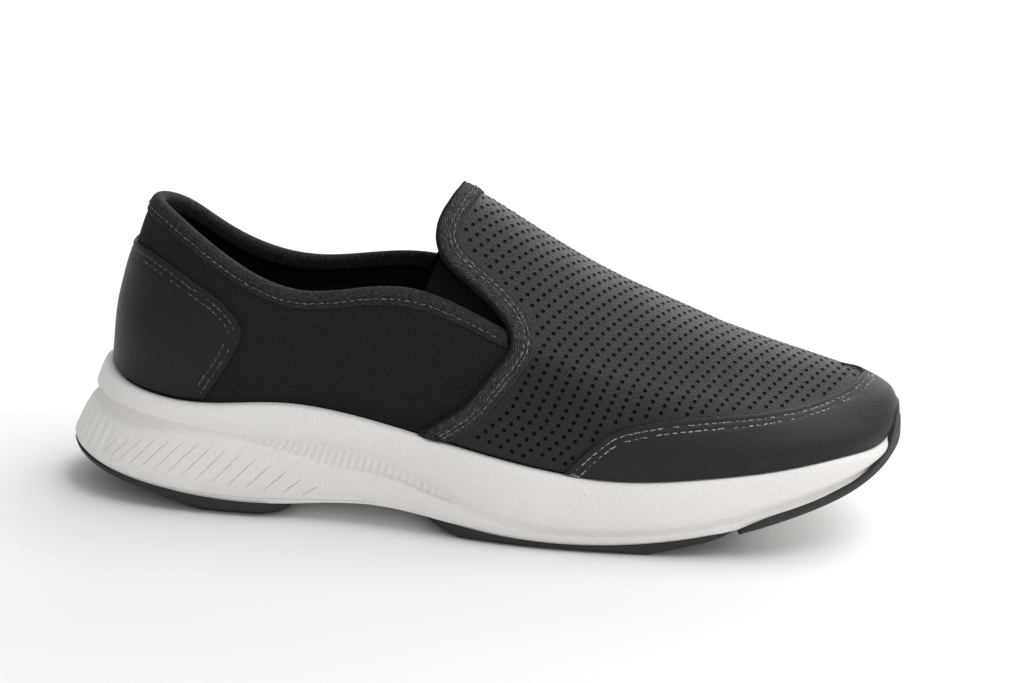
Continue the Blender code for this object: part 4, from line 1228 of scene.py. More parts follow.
def vamp_creases(at, up):
    """Soft creases of the vamp, across the ball of the foot, in metres out of the form."""
    station = np.where(at > TOE, LOOP - at, at)
    crease = np.zeros(np.shape(at))
    for centre, low, high, lean, width, depth in VAMP_CREASES:
        line = centre + lean * (up - 0.6)
        reach = np.clip((up - low) / 0.12, 0, 1) * np.clip((high - up) / 0.12, 0, 1)
        crease = crease + depth * reach * np.exp(-(((station - line) / width) ** 2))
    return crease


# Creases: station, lowest and highest height share, lean in stations for each height share, width in
# stations, height out of the form.
VAMP_CREASES = (
    (7.3, 0.35, 0.95, 0.5, 0.16, -0.00030),
    (7.9, 0.30, 0.90, 0.4, 0.20, 0.00022),
    (8.6, 0.45, 1.05, 0.3, 0.18, -0.00025),
)


class SHOE_OT_holes(bpy.types.Operator):
    """Punched holes of the vamp, in staggered rows along its ridge: each a raised lip round a dark disc of
    painted shade
    """

    bl_idname = "shoe.holes"
    bl_label = "Holes"

    def execute(self, context):
        size = sizes()
        edge = form(*vamp_edge_path(), 0.0)
        cap = form(*cap_edge_path(), 0.0)
        edge_near, cap_near = edge_tree(edge), edge_tree(cap)
        centres, normals, tangents = [], [], []
        for side in (1, -1):
            rows = hole_rows(size.hole_row)
            for number, levels in rows:
                if side < 0 and number == 0:
                    continue
                stations = np.linspace(HOLES_FROM, TOE, 400)
                heights = levels(stations)
                at = stations if side > 0 else LOOP - stations
                points = form(at, heights, 0.0)
                length = np.concatenate([[0], np.cumsum(np.linalg.norm(np.diff(points, axis=0), axis=1))])
                zero = np.interp(HOLES_COUNTED_FROM, stations, length)
                first = math.ceil(-zero / size.hole_pitch) - 1
                numbers = np.arange(first, first + 200) + (0.5 if number % 2 else 0.0)
                marks = zero + numbers * size.hole_pitch
                marks = marks[(marks > 0) & (marks < length[-1])]
                s = np.interp(marks, length, stations)
                u = levels(s)
                a = s if side > 0 else LOOP - s
                spot = form(a, u, 0.0)
                start = edge_station(u, side)
                cap_up = cap_edge(s)
                cap_up = np.where(s < CAP_EDGE["station"][0], 0.0, cap_up)
                clear_edge = distance_to(edge_near, spot) > TAPE_WIDTH + size.hole_margin
                clear_cap = distance_to(cap_near, spot) > size.hole_margin
                keep = (s > start) & (u > cap_up) & clear_edge & clear_cap & (u > HOLES_LOWEST)
                normal = side_normal(a, u)
                other = side_normal(LOOP - a, u)
                normal = np.where((u > RIDGE_PART)[:, None], unit(normal + other), normal)
                crease = vamp_creases(a, u)
                centres.append((form(a, u, crease))[keep])
                normals.append(normal[keep])
                tangents.append(np.gradient(spot, axis=0)[keep])
        centre, normal, tangent = (np.concatenate(part) for part in (centres, normals, tangents))
        along = unit(tangent)
        side_way = unit(np.cross(normal, along))
        count = HOLE_SIDES
        angles = np.arange(count) * math.tau / count
        points = []
        for factor, lift in HOLE_RINGS:
            radius = size.hole_radius * factor
            ring = (
                centre[:, None, :]
                + along[:, None, :] * (np.cos(angles) * radius)[None, :, None]
                + side_way[:, None, :] * (np.sin(angles) * radius)[None, :, None]
                + normal[:, None, :] * lift
            )
            points.append(ring)
        points = np.stack(points, axis=1)
        faces, kinds = [], []
        per_hole = len(HOLE_RINGS) * count
        for hole in range(len(centre)):
            base = hole * per_hole
            for level in range(len(HOLE_RINGS) - 1):
                for k in range(count):
                    n = (k + 1) % count
                    a = base + level * count
                    faces.append((a + k, a + n, a + count + n, a + count + k))
                    # The lip keeps the vamp's finish; inside it the hole is a dark disc of painted shade.
                    kinds.append(0 if level == 0 else 1)
            faces.append(tuple(base + (len(HOLE_RINGS) - 1) * count + k for k in range(count)))
            kinds.append(1)
        mesh = bpy.data.meshes.new("vamp_holes")
        mesh.from_pydata(points.reshape(-1, 3).tolist(), [], faces)
        mesh.materials.append(finish("vamp"))
        mesh.materials.append(finish("hole"))
        mesh.polygons.foreach_set("material_index", kinds)
        mesh.update()
        mesh.shade_smooth()
        finished(linked("vamp_holes", mesh), "perforated_leather")
        return {"FINISHED"}


# Holes: station from which rows run, lowest height share with holes, station from which they are counted,
# corners of a hole, and its rings, each with its share of the radius and its lift over the vamp.
HOLES_FROM = 4.3
HOLES_LOWEST = 0.05
HOLES_COUNTED_FROM = 8.0
HOLE_SIDES = 10
# Height share over which a hole's normal is that of both sides.
RIDGE_PART = 0.97
# Rings after the first carry the hole_shadow finish: painted shade where the hole's depth would be.
HOLE_RINGS = ((1.45, 0.00000), (1.12, 0.00009), (0.98, 0.00006), (0.80, 0.00003))


def hole_rows(pitch):
    """For each row of holes, its number from the ridge and the height share that it keeps at each station."""
    stations = np.linspace(HOLES_FROM, TOE, 60)
    ups = np.linspace(0, 1, 90)
    points = form_base(stations[:, None] + 0 * ups[None, :], ups[None, :] + 0 * stations[:, None])
    steps = np.linalg.norm(np.diff(points, axis=1), axis=2)
    from_top = np.concatenate(
        [np.cumsum(steps[:, ::-1], axis=1)[:, ::-1], np.zeros((len(stations), 1))], axis=1
    )
    rows = []
    for number in range(int(from_top.max() / pitch)):
        level = np.array([np.interp(-number * pitch, -from_top[i], ups) for i in range(len(stations))])
        rows.append((number, lambda s, level=level: np.interp(s, stations, level)))
    return rows


class SHOE_OT_toe_cap(bpy.types.Operator):
    """Fine skin of the toe cap, with its turned edge"""

    bl_idname = "shoe.toe_cap"
    bl_label = "Toe cap"

    def execute(self, context):
        path = cap_edge_path()
        tree = edge_tree(form(*path, LAYER_GAP))

        def place(across, up):
            first = CAP_EDGE["station"][0]
            station = first + (LOOP - 2 * first) * across
            edge = cap_edge(station)
            height = SOLE_CLEAR + (edge - SOLE_CLEAR) * (1 - (1 - up) ** CAP_CROWDING)
            base = form(station, height, LAYER_GAP)
            return form(station, height, LAYER_GAP + OVERLAY_THICK + cap_lift(distance_to(tree, base)))

        obj = sheet_piece("toe_cap_skin", 200, 44, place, ["leather"])
        walled(obj, OVERLAY_THICK + LAYER_GAP * 0.8)
        obj.data.shade_smooth()
        finished(obj, "smooth_leather", "toe_cap")
        return {"FINISHED"}


class SHOE_OT_counter(bpy.types.Operator):
    """Fine skin of the heel counter, with its turned edge"""

    bl_idname = "shoe.counter"
    bl_label = "Heel counter"

    def execute(self, context):
        tree = edge_tree(form(*counter_edge_path(), 0.0))

        def place(across, up):
            reach = table_curve(COUNTER_REACH["share"], COUNTER_REACH["station"])(up)
            spread_share = across * 2 - 1
            top = table_curve(COUNTER_TOP["share"], COUNTER_TOP["up"])(np.abs(spread_share))
            at = reach * spread_share
            height = SOLE_CLEAR + (top - SOLE_CLEAR) * up
            base = form(at, height, 0.0)
            return form(at, height, cap_lift(distance_to(tree, base)))

        # Its finish is the overlays' leather darkened: painted shade.
        obj = sheet_piece("heel_counter_skin", 150, 50, place, ["counter"])
        walled(obj, VAMP_THICK + LAYER_GAP * 0.8)
        obj.data.shade_smooth()
        finished(obj, "smooth_leather", "heel_counter")
        return {"FINISHED"}


class SHOE_OT_collar(bpy.types.Operator):
    """Padded knit roll around the topline"""

    bl_idname = "shoe.collar"
    bl_label = "Collar"

    def execute(self, context):
        profile = Curve(np.array(COLLAR_PROFILE), closed=True)

        def place(across, up):
            at = (across * 2 - 1) * COLLAR_END
            low = collar_base(at)
            depth = V_COLLAR - low
            pad_share = np.clip((np.abs(at) - PAD_THINS["from"]) / PAD_THINS["over"], 0, 1)
            thick = COLLAR_PAD_HEEL + (COLLAR_PAD_FRONT - COLLAR_PAD_HEEL) * pad_share
            shape = profile(up * len(COLLAR_PROFILE))
            seam = swell(up * len(COLLAR_PROFILE), COLLAR_SEAM, SEAM_WIDTH, -SEAM_DEPTH)
            lift = WALL_OUT + COLLAR_PROUD - thick * shape[..., 1] + seam
            return form(at, low + depth * shape[..., 0], lift)

        obj = sheet_piece("collar_roll", 300, 40, place, ["knit"])
        close_doubles(obj)
        work = bmesh.new()
        work.from_mesh(obj.data)
        bmesh.ops.holes_fill(work, edges=[e for e in work.edges if e.is_boundary], sides=0)
        bmesh.ops.recalc_face_normals(work, faces=work.faces)
        work.to_mesh(obj.data)
        work.free()
        obj.data.shade_smooth()
        finished(obj, "padded_binding", "collar")
        return {"FINISHED"}


# Profile of the collar roll: share of its height, and share of its thickness inwards.
COLLAR_PROFILE = (
    (0.0, 0.30), (0.12, 0.03), (0.50, 0.0), (0.86, 0.07), (1.08, 0.30),
    (1.14, 0.55), (1.06, 0.80), (0.80, 0.97), (0.40, 1.0), (0.03, 0.88),
)
# Seam along the roll: its place and width in points of the profile, and its depth.
COLLAR_SEAM = 1.55
SEAM_WIDTH = 0.22
SEAM_DEPTH = 0.00035
# Station of the roll's front ends, and stations over which its pad thins.
COLLAR_END = 6.1
PAD_THINS = {"from": 3.5, "over": 1.6}


class SHOE_OT_tape(bpy.types.Operator):
    """Ribbed tape around the rear edge of the vamp"""

    bl_idname = "shoe.tape"
    bl_label = "Vamp tape"

    def execute(self, context):
        edge_at, edge_up = vamp_edge_path(301)

        def place(across, up):
            points = np.empty(across.shape + (3,))
            shares_up = up[:, 0]
            for i, share in enumerate(shares_up):
                at, height = inset_path(edge_at, edge_up, TAPE_WIDTH * share)
                lift = TAPE_LIFT * tape_profile(share)
                points[i] = form(at, np.maximum(height, SOLE_CLEAR), lift)
            return points

        obj = sheet_piece("vamp_tape_skin", 300, 16, place, ["tape"], flip=True)
        walled(obj, TAPE_LIFT * 1.3)
        obj.data.shade_smooth()
        finished(obj, "stitched_tape", "vamp_binding")
        return {"FINISHED"}


# Height of the tape over the vamp.
TAPE_LIFT = 0.0010


def tape_profile(share):
    """Height of the tape across its width, in shares of its thickness."""
    ribs = 0.10 * math.cos(share * math.tau * 4)
    return 0.35 + 0.65 * min(1.0, share / 0.10, (1 - share) / 0.08 + 0.35) + ribs


class SHOE_OT_stitches(bpy.types.Operator):
    """Rows of stitches along the tape, the toe cap, the heel counter and the collar"""

    bl_idname = "shoe.stitches"
    bl_label = "Stitches"

    def execute(self, context):
        size = sizes()
        pitch = size.stitch_length + size.stitch_gap
        width = size.stitch_width
        edge = vamp_edge_path(401)
        rows = []
        for share, slant in TAPE_ROWS:
            at, up = inset_path(*edge, TAPE_WIDTH * share)
            up = np.maximum(up, SOLE_CLEAR)
            middle, along, out = resampled(at, up, TAPE_LIFT * 1.05, pitch)
            rows.append((*stitches(middle, along, out, size.stitch_length, width, width * 0.8, slant), 0))
        joined("tape_stitches", rows, ["tape_thread"], "stitched_tape")
        rows = []
        edge = cap_edge_path(401)
        for inset in OVERLAY_ROWS:
            at, up = inset_path(*edge, inset, side=CAP_SIDE)
            up = np.maximum(up, SOLE_CLEAR)
            lift = LAYER_GAP + OVERLAY_THICK + float(cap_lift(np.array(inset)))
            middle, along, out = resampled(at, up, lift, pitch)
            rows.append((*stitches(middle, along, out, size.stitch_length, width, width), 0))
        joined("cap_stitches", rows, ["thread"], "smooth_leather")
        rows = []
        edge = counter_edge_path(120)
        for inset in OVERLAY_ROWS:
            at, up = inset_path(*edge, inset, side=COUNTER_SIDE)
            up = np.maximum(up, SOLE_CLEAR)
            middle, along, out = resampled(at, up, float(cap_lift(np.array(inset))), pitch)
            rows.append((*stitches(middle, along, out, size.stitch_length, width, width), 0))
        joined("counter_stitches", rows, ["dark_thread"], "smooth_leather")
        at = np.linspace(-COLLAR_ROW["end"], COLLAR_ROW["end"], 600)
        low = collar_base(at)
        up = low + (V_COLLAR - low) * COLLAR_ROW["share"]
        middle, along, out = resampled(at, up, WALL_OUT + COLLAR_PROUD + 0.0001, pitch)
        row = (*stitches(middle, along, out, size.stitch_length, width, width), 0)
        joined("collar_stitches", [row], ["dark_thread"], "padded_binding")
        return {"FINISHED"}


# Rows of the tape: share of its width, and slant of the stitches. Row of the collar: its end station, and its
# share of the roll's height.
TAPE_ROWS = ((0.60, 0.10), (0.80, -0.06))
COLLAR_ROW = {"end": 6.0, "share": 0.33}
# Side of its edge path on which each panel's stitches lie.
CAP_SIDE = 1
COUNTER_SIDE = -1


# Rolled edge of the flap: lift of its middle, half of its thickness, and how far it bulges out of the edge.
FLAP_MIDDLE = -0.0010
FLAP_HALF = 0.0021
FLAP_ROLL = 0.0008
PIPING = {"lift": 0.00040, "radius": 0.00038}


class SHOE_OT_piping(bpy.types.Operator):
    """Thin raised lines: piping in front of the tape, and the rolled edge of the flap"""

    bl_idname = "shoe.piping"
    bl_label = "Piping"

    def execute(self, context):
        at, up = inset_path(*vamp_edge_path(301), TAPE_WIDTH + PIPING["lift"])
        up = np.maximum(up, SOLE_CLEAR)
        parts = [(*cord_along(at, up, PIPING["lift"], PIPING["radius"], PIPING["radius"]), 0)]
        joined("tape_piping", parts, ["piping"], "stitched_tape")
        at, up = vamp_edge_path(301)
        parts = [(*cord_along(at, up, FLAP_MIDDLE, FLAP_HALF, FLAP_ROLL, 14), 0)]
        joined("tape_roll", parts, ["hem"], "stitched_tape")
        return {"FINISHED"}


# Slots of the heel flare: how many, the first one's station and their pitch in stations. At four even steps
# from the first to the last: their lean in stations, lower end and height in shares of STACK.
HEEL_SLOTS = {
    "count": 15,
    "first": 1.70,
    "pitch": 0.186,
    "lean": (0.17, 0.24, 0.22, 0.15),
    "low": (0.36, 0.31, 0.26, 0.21),
    "tall": (0.15, 0.25, 0.24, 0.09),
}
THIN_SLOT = {"width": 0.00026, "depth": 0.00060}
# Fine grooves just above the lower edge of the foam: station, height as a share of STACK.
LIP_LINE = {
    "station": (1.15, 1.75, 2.75, 3.80, 5.00),
    "height": (0.33, 0.255, 0.20, 0.163, 0.21),
}
LIP_GROOVE = {"width": 0.00020, "depth": 0.00045, "step": 0.0012}
# Flutes round the back of the heel: stations between them, and their depth.
FLUTES = {"pitch": 0.235, "reach": 1.85, "depth": 0.00085}
# Under the rim band the side draws in further at the heel than at the ball.
HEEL_UNDERCUT = 0.0031
# Shares of the way from the lower line to the crease where the ribs have a ring of their own.
BAND_ROWS = (0.14, 0.38, 0.62, 0.86)
# The crease of the forefoot is deeper than that of the plain solid.
FORE_CREASE = 0.0014
# Stations over which the heel's shapes end, the forefoot's begin, and the rim line's drop at the rear ends.
HEEL_PART = (1.7, 3.2)
FORE_PART = (5.2, 6.6)
REAR_PART = (3.5, 5.0)
# Stations over which the rim band turns from the back of the heel to its side.
BACK_PART = (0.8, 2.4)
# Drop of the rim line at the rear, and height over which the ribbed band fades out, in shares of STACK.
CREASE_DROP = 0.018
BAND_FADE_HEIGHT = 0.12
# Shares of LENGTH over which the ribbed band fades in at the rear and out at the front.
BAND_FADE = (0.035, 0.03)
# Slant of the ribs over the band's height, and shares of LENGTH over which it ends.
RIB_SLANT = 0.0022
SLANT_PART = (0.22, 0.40)
# How far under the rim line the side starts to draw in; the heel adds as much again.
DRAW_REACH = 0.0030
# Least distances between the rings next to the crease.
RING_GAPS = {"band": 0.0012, "lower": 0.0006, "under": 0.0004, "over": 0.0005}


def eased(value, low, high):
    share = np.clip((value - low) / (high - low), 0, 1)
    return share * share * (3 - 2 * share)


def skin_rings(places):
    """Rings of the foam's side, finer than those of its plain solid: soft crease, slanted ribs and flutes."""
    flare, feather = FLARE_LOOP(places), FEATHER_LOOP(places)
    out, rim_out = loop_outward(FLARE_LOOP, places), loop_outward(FEATHER_LOOP, places)
    rim = feather + rim_out * RIM_WIDTH
    station = np.minimum(places, LOOP - places)
    heel = 1 - eased(station, *HEEL_PART)
    fore = eased(station, *FORE_PART)
    crease = CREASE(places) - CREASE_DROP * STACK * (1 - eased(station, *REAR_PART))
    tread = TREAD(places)

    def on_side(height, proud):
        share = np.clip((height - flare[:, 2]) / (rim[:, 2] - flare[:, 2]), 0, 1)[:, None]
        point = flare + (rim - flare) * share
        point[:, 2] = height
        return point + out * proud[:, None]

    zero = np.zeros(len(places))
    along = flare[:, 0] / LENGTH + 0.5
    ends = BAND["along"][0], BAND["along"][-1]
    lateral = (places < TOE) & (places > 0)
    fade_in = eased(along, ends[0], ends[0] + BAND_FADE[0])
    fade_out = eased(along, ends[1] - BAND_FADE[1], ends[1])
    inside = np.where(lateral, fade_in * (1 - fade_out), 0)
    line = table_curve(BAND["along"], BAND["height"])(along) * STACK
    lens = inside * np.clip((crease - line) / (BAND_FADE_HEIGHT * STACK), 0, 1)
    slant = RIB_SLANT * (1 - eased(along, *SLANT_PART))

    def ribs(shift):
        phase = ((along - ends[0]) * LENGTH + shift) / sizes().rib_pitch
        return 0.5 + 0.5 * np.cos(phase * math.tau)

    plain_low = crease - DRAW_REACH - DRAW_REACH * heel
    low = plain_low + (np.minimum(line, crease - RING_GAPS["band"]) - plain_low) * inside
    low = np.maximum(low, flare[:, 2] + RING_GAPS["lower"])
    under = np.maximum(crease - RING_GAPS["lower"], low + RING_GAPS["under"])
    deep = STEP_DEPTH * 0.8 + HEEL_UNDERCUT * heel + FORE_CREASE * fore
    over = np.maximum(crease + RING_GAPS["over"], under + RING_GAPS["lower"])
    upper = (over + rim[:, 2]) / 2
    tucked = flare - out * TREAD_TUCK
    tucked[:, 2] = tread
    low_edge = flare - out * 0.0005
    low_edge[:, 2] = tread + (flare[:, 2] - tread) * 0.35
    turn = np.where(places > TOE, places - LOOP, places) / FLUTES["pitch"]
    flutes = -FLUTES["depth"] * (0.5 + 0.5 * np.cos(turn * math.tau)) * (
        1 - eased(station, FLUTES["reach"] - 0.3, FLUTES["reach"])
    )
    rings = [tucked, low_edge, on_side(flare[:, 2] + 0.0004, zero)]
    rings.append(on_side(flare[:, 2] + (low - flare[:, 2]) * 0.22, flutes))
    rings.append(on_side(flare[:, 2] + (low - flare[:, 2]) * 0.72, flutes - 0.0003 * heel))
    rings.append(on_side(low, zero - STEP_DEPTH * 0.2 - 0.0008 * heel - FORE_CREASE * 0.3 * fore))
    for share in BAND_ROWS:
        rib = RIB_DEPTH * ribs(-slant * share) * min(1.0, share / 0.2, (1.12 - share) / 0.45)
        drawn = deep * (0.4 + 0.6 * np.maximum(inside, share))
        rings.append(on_side(low + (under - low) * share, -drawn - (BAND_DEPTH - rib) * lens))
    rings.append(on_side(under, -deep - BAND_DEPTH * 0.8 * lens))
    back = 1 - eased(station, *BACK_PART)
    rings.append(on_side(over, BAND_BULGE * (0.4 + 0.3 * heel + 0.3 * fore - 1.2 * back)))
    rings.append(on_side(upper, BAND_BULGE * (1 - 1.3 * back)))
    edge = rim.copy()
    edge[:, 2] -= RIM_ROUND
    rings.append(edge)
    top = feather + rim_out * (RIM_WIDTH - RIM_ROUND)
    inner = feather + rim_out * (WALL_OUT + GAP)
    floor = inner.copy()
    floor[:, 2] = FLOOR(places)
    turn_in = 6 + len(BAND_ROWS)
    sharp = {0: 0.5 + zero, 2: 0.4 + zero, 5: 0.15 + 0.5 * inside, 6: 0.1 + 0.5 * inside}
    sharp.update({turn_in: 0.55 - 0.35 * fore, turn_in + 1: 0.35 + 0.25 * heel - 0.15 * fore})
    sharp.update(
        {turn_in + 3: 0.4 + zero, turn_in + 4: 0.4 + zero, turn_in + 5: 0.6 + zero, turn_in + 6: 1.0 + zero}
    )
    return rings + [top, inner, floor], sharp


class SHOE_OT_sole(bpy.types.Operator):
    """Fine skin of the foam sole: ribbed band, soft crease, flutes, heel slots and lip grooves"""

    bl_idname = "shoe.sole"
    bl_label = "Sole"

    def execute(self, context):
        lateral = fine_side_places()
        places = np.concatenate([lateral, LOOP - lateral[-2:0:-1]])
        rings, sharp = skin_rings(places)
        count = len(places)
        work = bmesh.new()
        corners = [[work.verts.new(p) for p in ring] for ring in rings]
        crease = work.edges.layers.float.new("crease_edge")
        for level in range(len(rings) - 1):
            for i in range(count):
                j = (i + 1) % count
                work.faces.new(
                    (corners[level][i], corners[level][j], corners[level + 1][j], corners[level + 1][i])
                )
        half = len(lateral)
        for ring, turn in ((corners[0], True), (corners[-1], False)):
            for i in range(half - 1):
                quad = [ring[i], ring[i + 1], ring[(count - i - 1) % count], ring[(count - i) % count]]
                quad = list(dict.fromkeys(quad))
                work.faces.new(list(reversed(quad)) if turn else quad)
        work.edges.ensure_lookup_table()
        for level, sharpness in sharp.items():
            for i in range(count):
                edge = work.edges.get((corners[level][i], corners[level][(i + 1) % count]))
                edge[crease] = sharpness[i]
        obj = from_bmesh("sole_foam", work)
        obj.data.materials.append(finish("foam"))
        modifier = obj.modifiers.new("smooth", "SUBSURF")
        modifier.levels = modifier.render_levels = 1
        apply_modifiers(obj)
        cut_by(obj, heel_slot_cutter(skin_of(obj)))
        smooth_by_angle(obj, 40)
        finished(obj, "white_foam", "midsole")
        return {"FINISHED"}


# Pads: insets of their section's four corners from the foam's edge, the last two times the chamfer; width and
# depth left at their rounded ends; and least rise of the chamfer.
PAD_INSETS = (0.0003, 0.0007, 0.0014, 0.0026)
PAD_END_WIDTH = 0.80
PAD_END_DEPTH = 0.70
PAD_RISE = 0.0006


def pad_skin(name, plan, ends, chamfer, rounding):
    """Rubber pad under the foam, out to its edge, with rounded ends and grooves across the tread."""
    first, last = ends
    steps = np.linspace(0, 1, 9)
    middle = np.arange(first + rounding, last - rounding, 0.10)
    if first > 0.5:
        head = first + rounding * (1 - np.cos(steps * math.pi / 2))
    else:
        head = np.concatenate([[0.012], np.linspace(0.04, rounding, 7)])
    stations = np.concatenate([head, middle[1:], last - rounding + rounding * np.sin(steps * math.pi / 2)])
    rows = []
    for s in stations:
        start = min(1.0, (s - first) / rounding) if first > 0.5 else 1.0
        share = min(start, min(1.0, (last - s) / rounding))
        full = math.sqrt(max(0.0, 1 - (1 - share) ** 2))
        tread, flare_height = float(TREAD(s)), float(FLARE_LOOP(s)[2])
        ground = max(0.0, float(GROUND(s)))
        deep = tread - ground
        low = ground + deep * PAD_END_DEPTH * (1 - full)
        section = []
        rise = min(PAD_RISE, 0.4 * (tread - low))
        levels = (
            (PAD_INSETS[0], tread + 0.18 * (flare_height - tread)),
            (PAD_INSETS[1], tread - 0.35 * (tread - low)),
            (PAD_INSETS[2] * chamfer, low + rise),
            (PAD_INSETS[3] * chamfer, low),
        )
        for inset, height in levels:
            for side in (s, LOOP - s):
                point = FLARE_LOOP(side) - loop_outward(FLARE_LOOP, side) * inset
                centre = (FLARE_LOOP(s) + FLARE_LOOP(LOOP - s)) / 2
                point = centre + (point - centre) * (PAD_END_WIDTH + (1 - PAD_END_WIDTH) * full)
                point[2] = height
                section.append(point)
        rows.append(section[0::2] + section[1::2][::-1])
    count = len(rows[0])
    work = bmesh.new()
    corners = [[work.verts.new(p) for p in row] for row in rows]
    for near, far in zip(corners, corners[1:]):
        for j in range(count):
            k = (j + 1) % count
            work.faces.new((near[j], near[k], far[k], far[j]))
    work.faces.new(corners[0])
    work.faces.new(list(reversed(corners[-1])))
    obj = from_bmesh(name, work)
    obj.data.materials.append(finish("rubber"))
    cutters = bmesh.new()
    for at in plan["grooves"]:
        near, far = FLARE_LOOP(at), FLARE_LOOP(LOOP - at)
        near[2] = far[2] = 0.0
        run = unit(far - near)
        box_between(
            cutters,
            near + run * GROOVE_EDGE,
            far - run * GROOVE_EDGE,
            np.array([0.0, 0.0, -1.0]),
            GROOVE_WIDTH,
            GROOVE_DEPTH,
        )
    cut_by(obj, from_bmesh(name + "_grooves", cutters))
    smooth_by_angle(obj, 35)
    return obj


class SHOE_OT_pads(bpy.types.Operator):
    """Rubber pads of the tread under the heel and the ball"""

    bl_idname = "shoe.pads"
    bl_label = "Tread pads"

    def execute(self, context):
        finished(
            pad_skin("heel_pad_rubber", HEEL_PAD, (0.0, 4.20), 2.1, 0.40), "black_rubber", "outsole_heel"
        )
        finished(
            pad_skin("ball_pad_rubber", BALL_PAD, (5.40, BALL_PAD["ends"][1]), 1.0, 0.42),
            "black_rubber",
            "outsole_forefoot",
        )
        return {"FINISHED"}


def fine_side_places():
    first = station_at([BAND["along"][0]], [0.0])[0]
    last = station_at([BAND["along"][-1]], [0.0])[0]
    ribs = int(round((BAND["along"][-1] - BAND["along"][0]) * LENGTH / sizes().rib_pitch))
    plain = np.concatenate([np.linspace(0, 2, 61)[:-1], np.linspace(2, TOE, 81)])
    band = np.linspace(first, last, 6 * ribs + 1)
    return np.concatenate([plain[plain < first - 0.05], band, plain[plain > last + 0.05]])


def skin_of(obj):
    """Search tree of a mesh, for points that lie on its surface."""
    mesh = obj.data
    return BVHTree.FromPolygons([v.co for v in mesh.vertices], [tuple(f.vertices) for f in mesh.polygons])


def on_skin(skin, at, height):
    """Points of the foam's side at stations and heights, with its normals there."""
    wrapped = np.mod(at, LOOP)
    aim = side_point(wrapped, height)
    out = loop_outward(FLARE_LOOP, wrapped)
    points, normals = aim.copy(), out.copy()
    for i in range(len(aim)):
        place, normal, _, _ = skin.ray_cast(Vector(aim[i] + out[i] * 0.008), Vector(-out[i]), 0.016)
        if place is not None:
            points[i], normals[i] = place, normal
    return points, normals


def heel_slot_cutter(skin):
    """Grooves of the heel flare and lips, on both sides: thin wedges that follow the surface."""
    parts = []
    share = np.linspace(0, 1, 9)
    for side in (1, -1):
        for number in range(HEEL_SLOTS["count"]):
            along = number / (HEEL_SLOTS["count"] - 1)
            lean, low, tall = (float(Curve(HEEL_SLOTS[key])(along * 3)) for key in ("lean", "low", "tall"))
            at = HEEL_SLOTS["first"] + HEEL_SLOTS["pitch"] * number + lean * share
            height = (low + tall * share) * STACK
            line, out = on_skin(skin, at * side, height)
            fade = np.sin(np.clip(share * 0.94 + 0.03, 0, 1) * math.pi)[:, None] ** 0.4
            line = line + out * (1 - fade) * THIN_SLOT["depth"]
            parts.append(rod(line, out, THIN_SLOT["depth"], THIN_SLOT["width"], 4))
    at = np.linspace(LIP_LINE["station"][0], LIP_LINE["station"][-1], 120)
    height = table_curve(LIP_LINE["station"], LIP_LINE["height"])(at) * STACK
    for side in (1, -1):
        for drop in (0.0, LIP_GROOVE["step"]):
            line, out = on_skin(skin, at * side, height - drop)
            parts.append(rod(line, out, LIP_GROOVE["depth"], LIP_GROOVE["width"], 4))
    work = bmesh.new()
    for points, faces in parts:
        made = [work.verts.new(point) for point in points]
        for face in faces:
            work.faces.new([made[i] for i in face])
    return from_bmesh("slot_cutter", work)


# Toe rubber: for each station of the side, how high its top edge reaches, counted in rows of its profile.
BUMPER_TOP = {
    "station": (
        8.40, 8.5, 8.65, 9.1, 9.7, 10.0, 10.2, 10.4, 10.6, 10.8, 10.9, 11.0, 11.1, 11.2, 11.35, 11.6, 12.0
    ),
    "row": (1.5, 2.2, 2.85, 3.0, 3.2, 3.3, 3.5, 3.9, 4.5, 5.3, 6.1, 7.2, 8.8, 11.2, 12.7, 12.95, 13.0),
}
BUMPER_LOW = 0.10
# Its thickness under the foam's edge and up its side, and its lift over the toe cap at five height shares.
BUMPER_SKIN = 0.0014
BUMPER_CAP = ((0.04, 0.0019), (0.09, 0.0015), (0.14, 0.0012), (0.19, 0.0009), (0.25, 0.0006))


def bumper_profile(at):
    """Outer face of the toe rubber on each rib: rows from under the sole up the side, then onto the cap."""
    flare, feather = FLARE_LOOP(at), FEATHER_LOOP(at)
    out, rim_out = loop_outward(FLARE_LOOP, at), loop_outward(FEATHER_LOOP, at)
    tread = TREAD(at)
    under = flare - out * (TREAD_TUCK * 2)
    under[:, 2] = tread - BUMPER_SKIN
    edge = flare - out * (TREAD_TUCK * 0.5)
    edge[:, 2] = tread - BUMPER_SKIN
    low = flare + out * (BUMPER_SKIN - 0.0004)
    low[:, 2] = tread + (flare[:, 2] - tread) * 0.4 - BUMPER_SKIN * 0.3
    rows = [under, edge, low]
    rim = feather + rim_out * RIM_WIDTH
    for share in np.linspace(0, 1, 6):
        rows.append(flare + (rim - flare) * share + out * BUMPER_SKIN)
    for height, more in BUMPER_CAP:
        rows.append(form(at, np.full(len(at), height), LAYER_GAP + OVERLAY_THICK + more))
    return np.stack(rows)


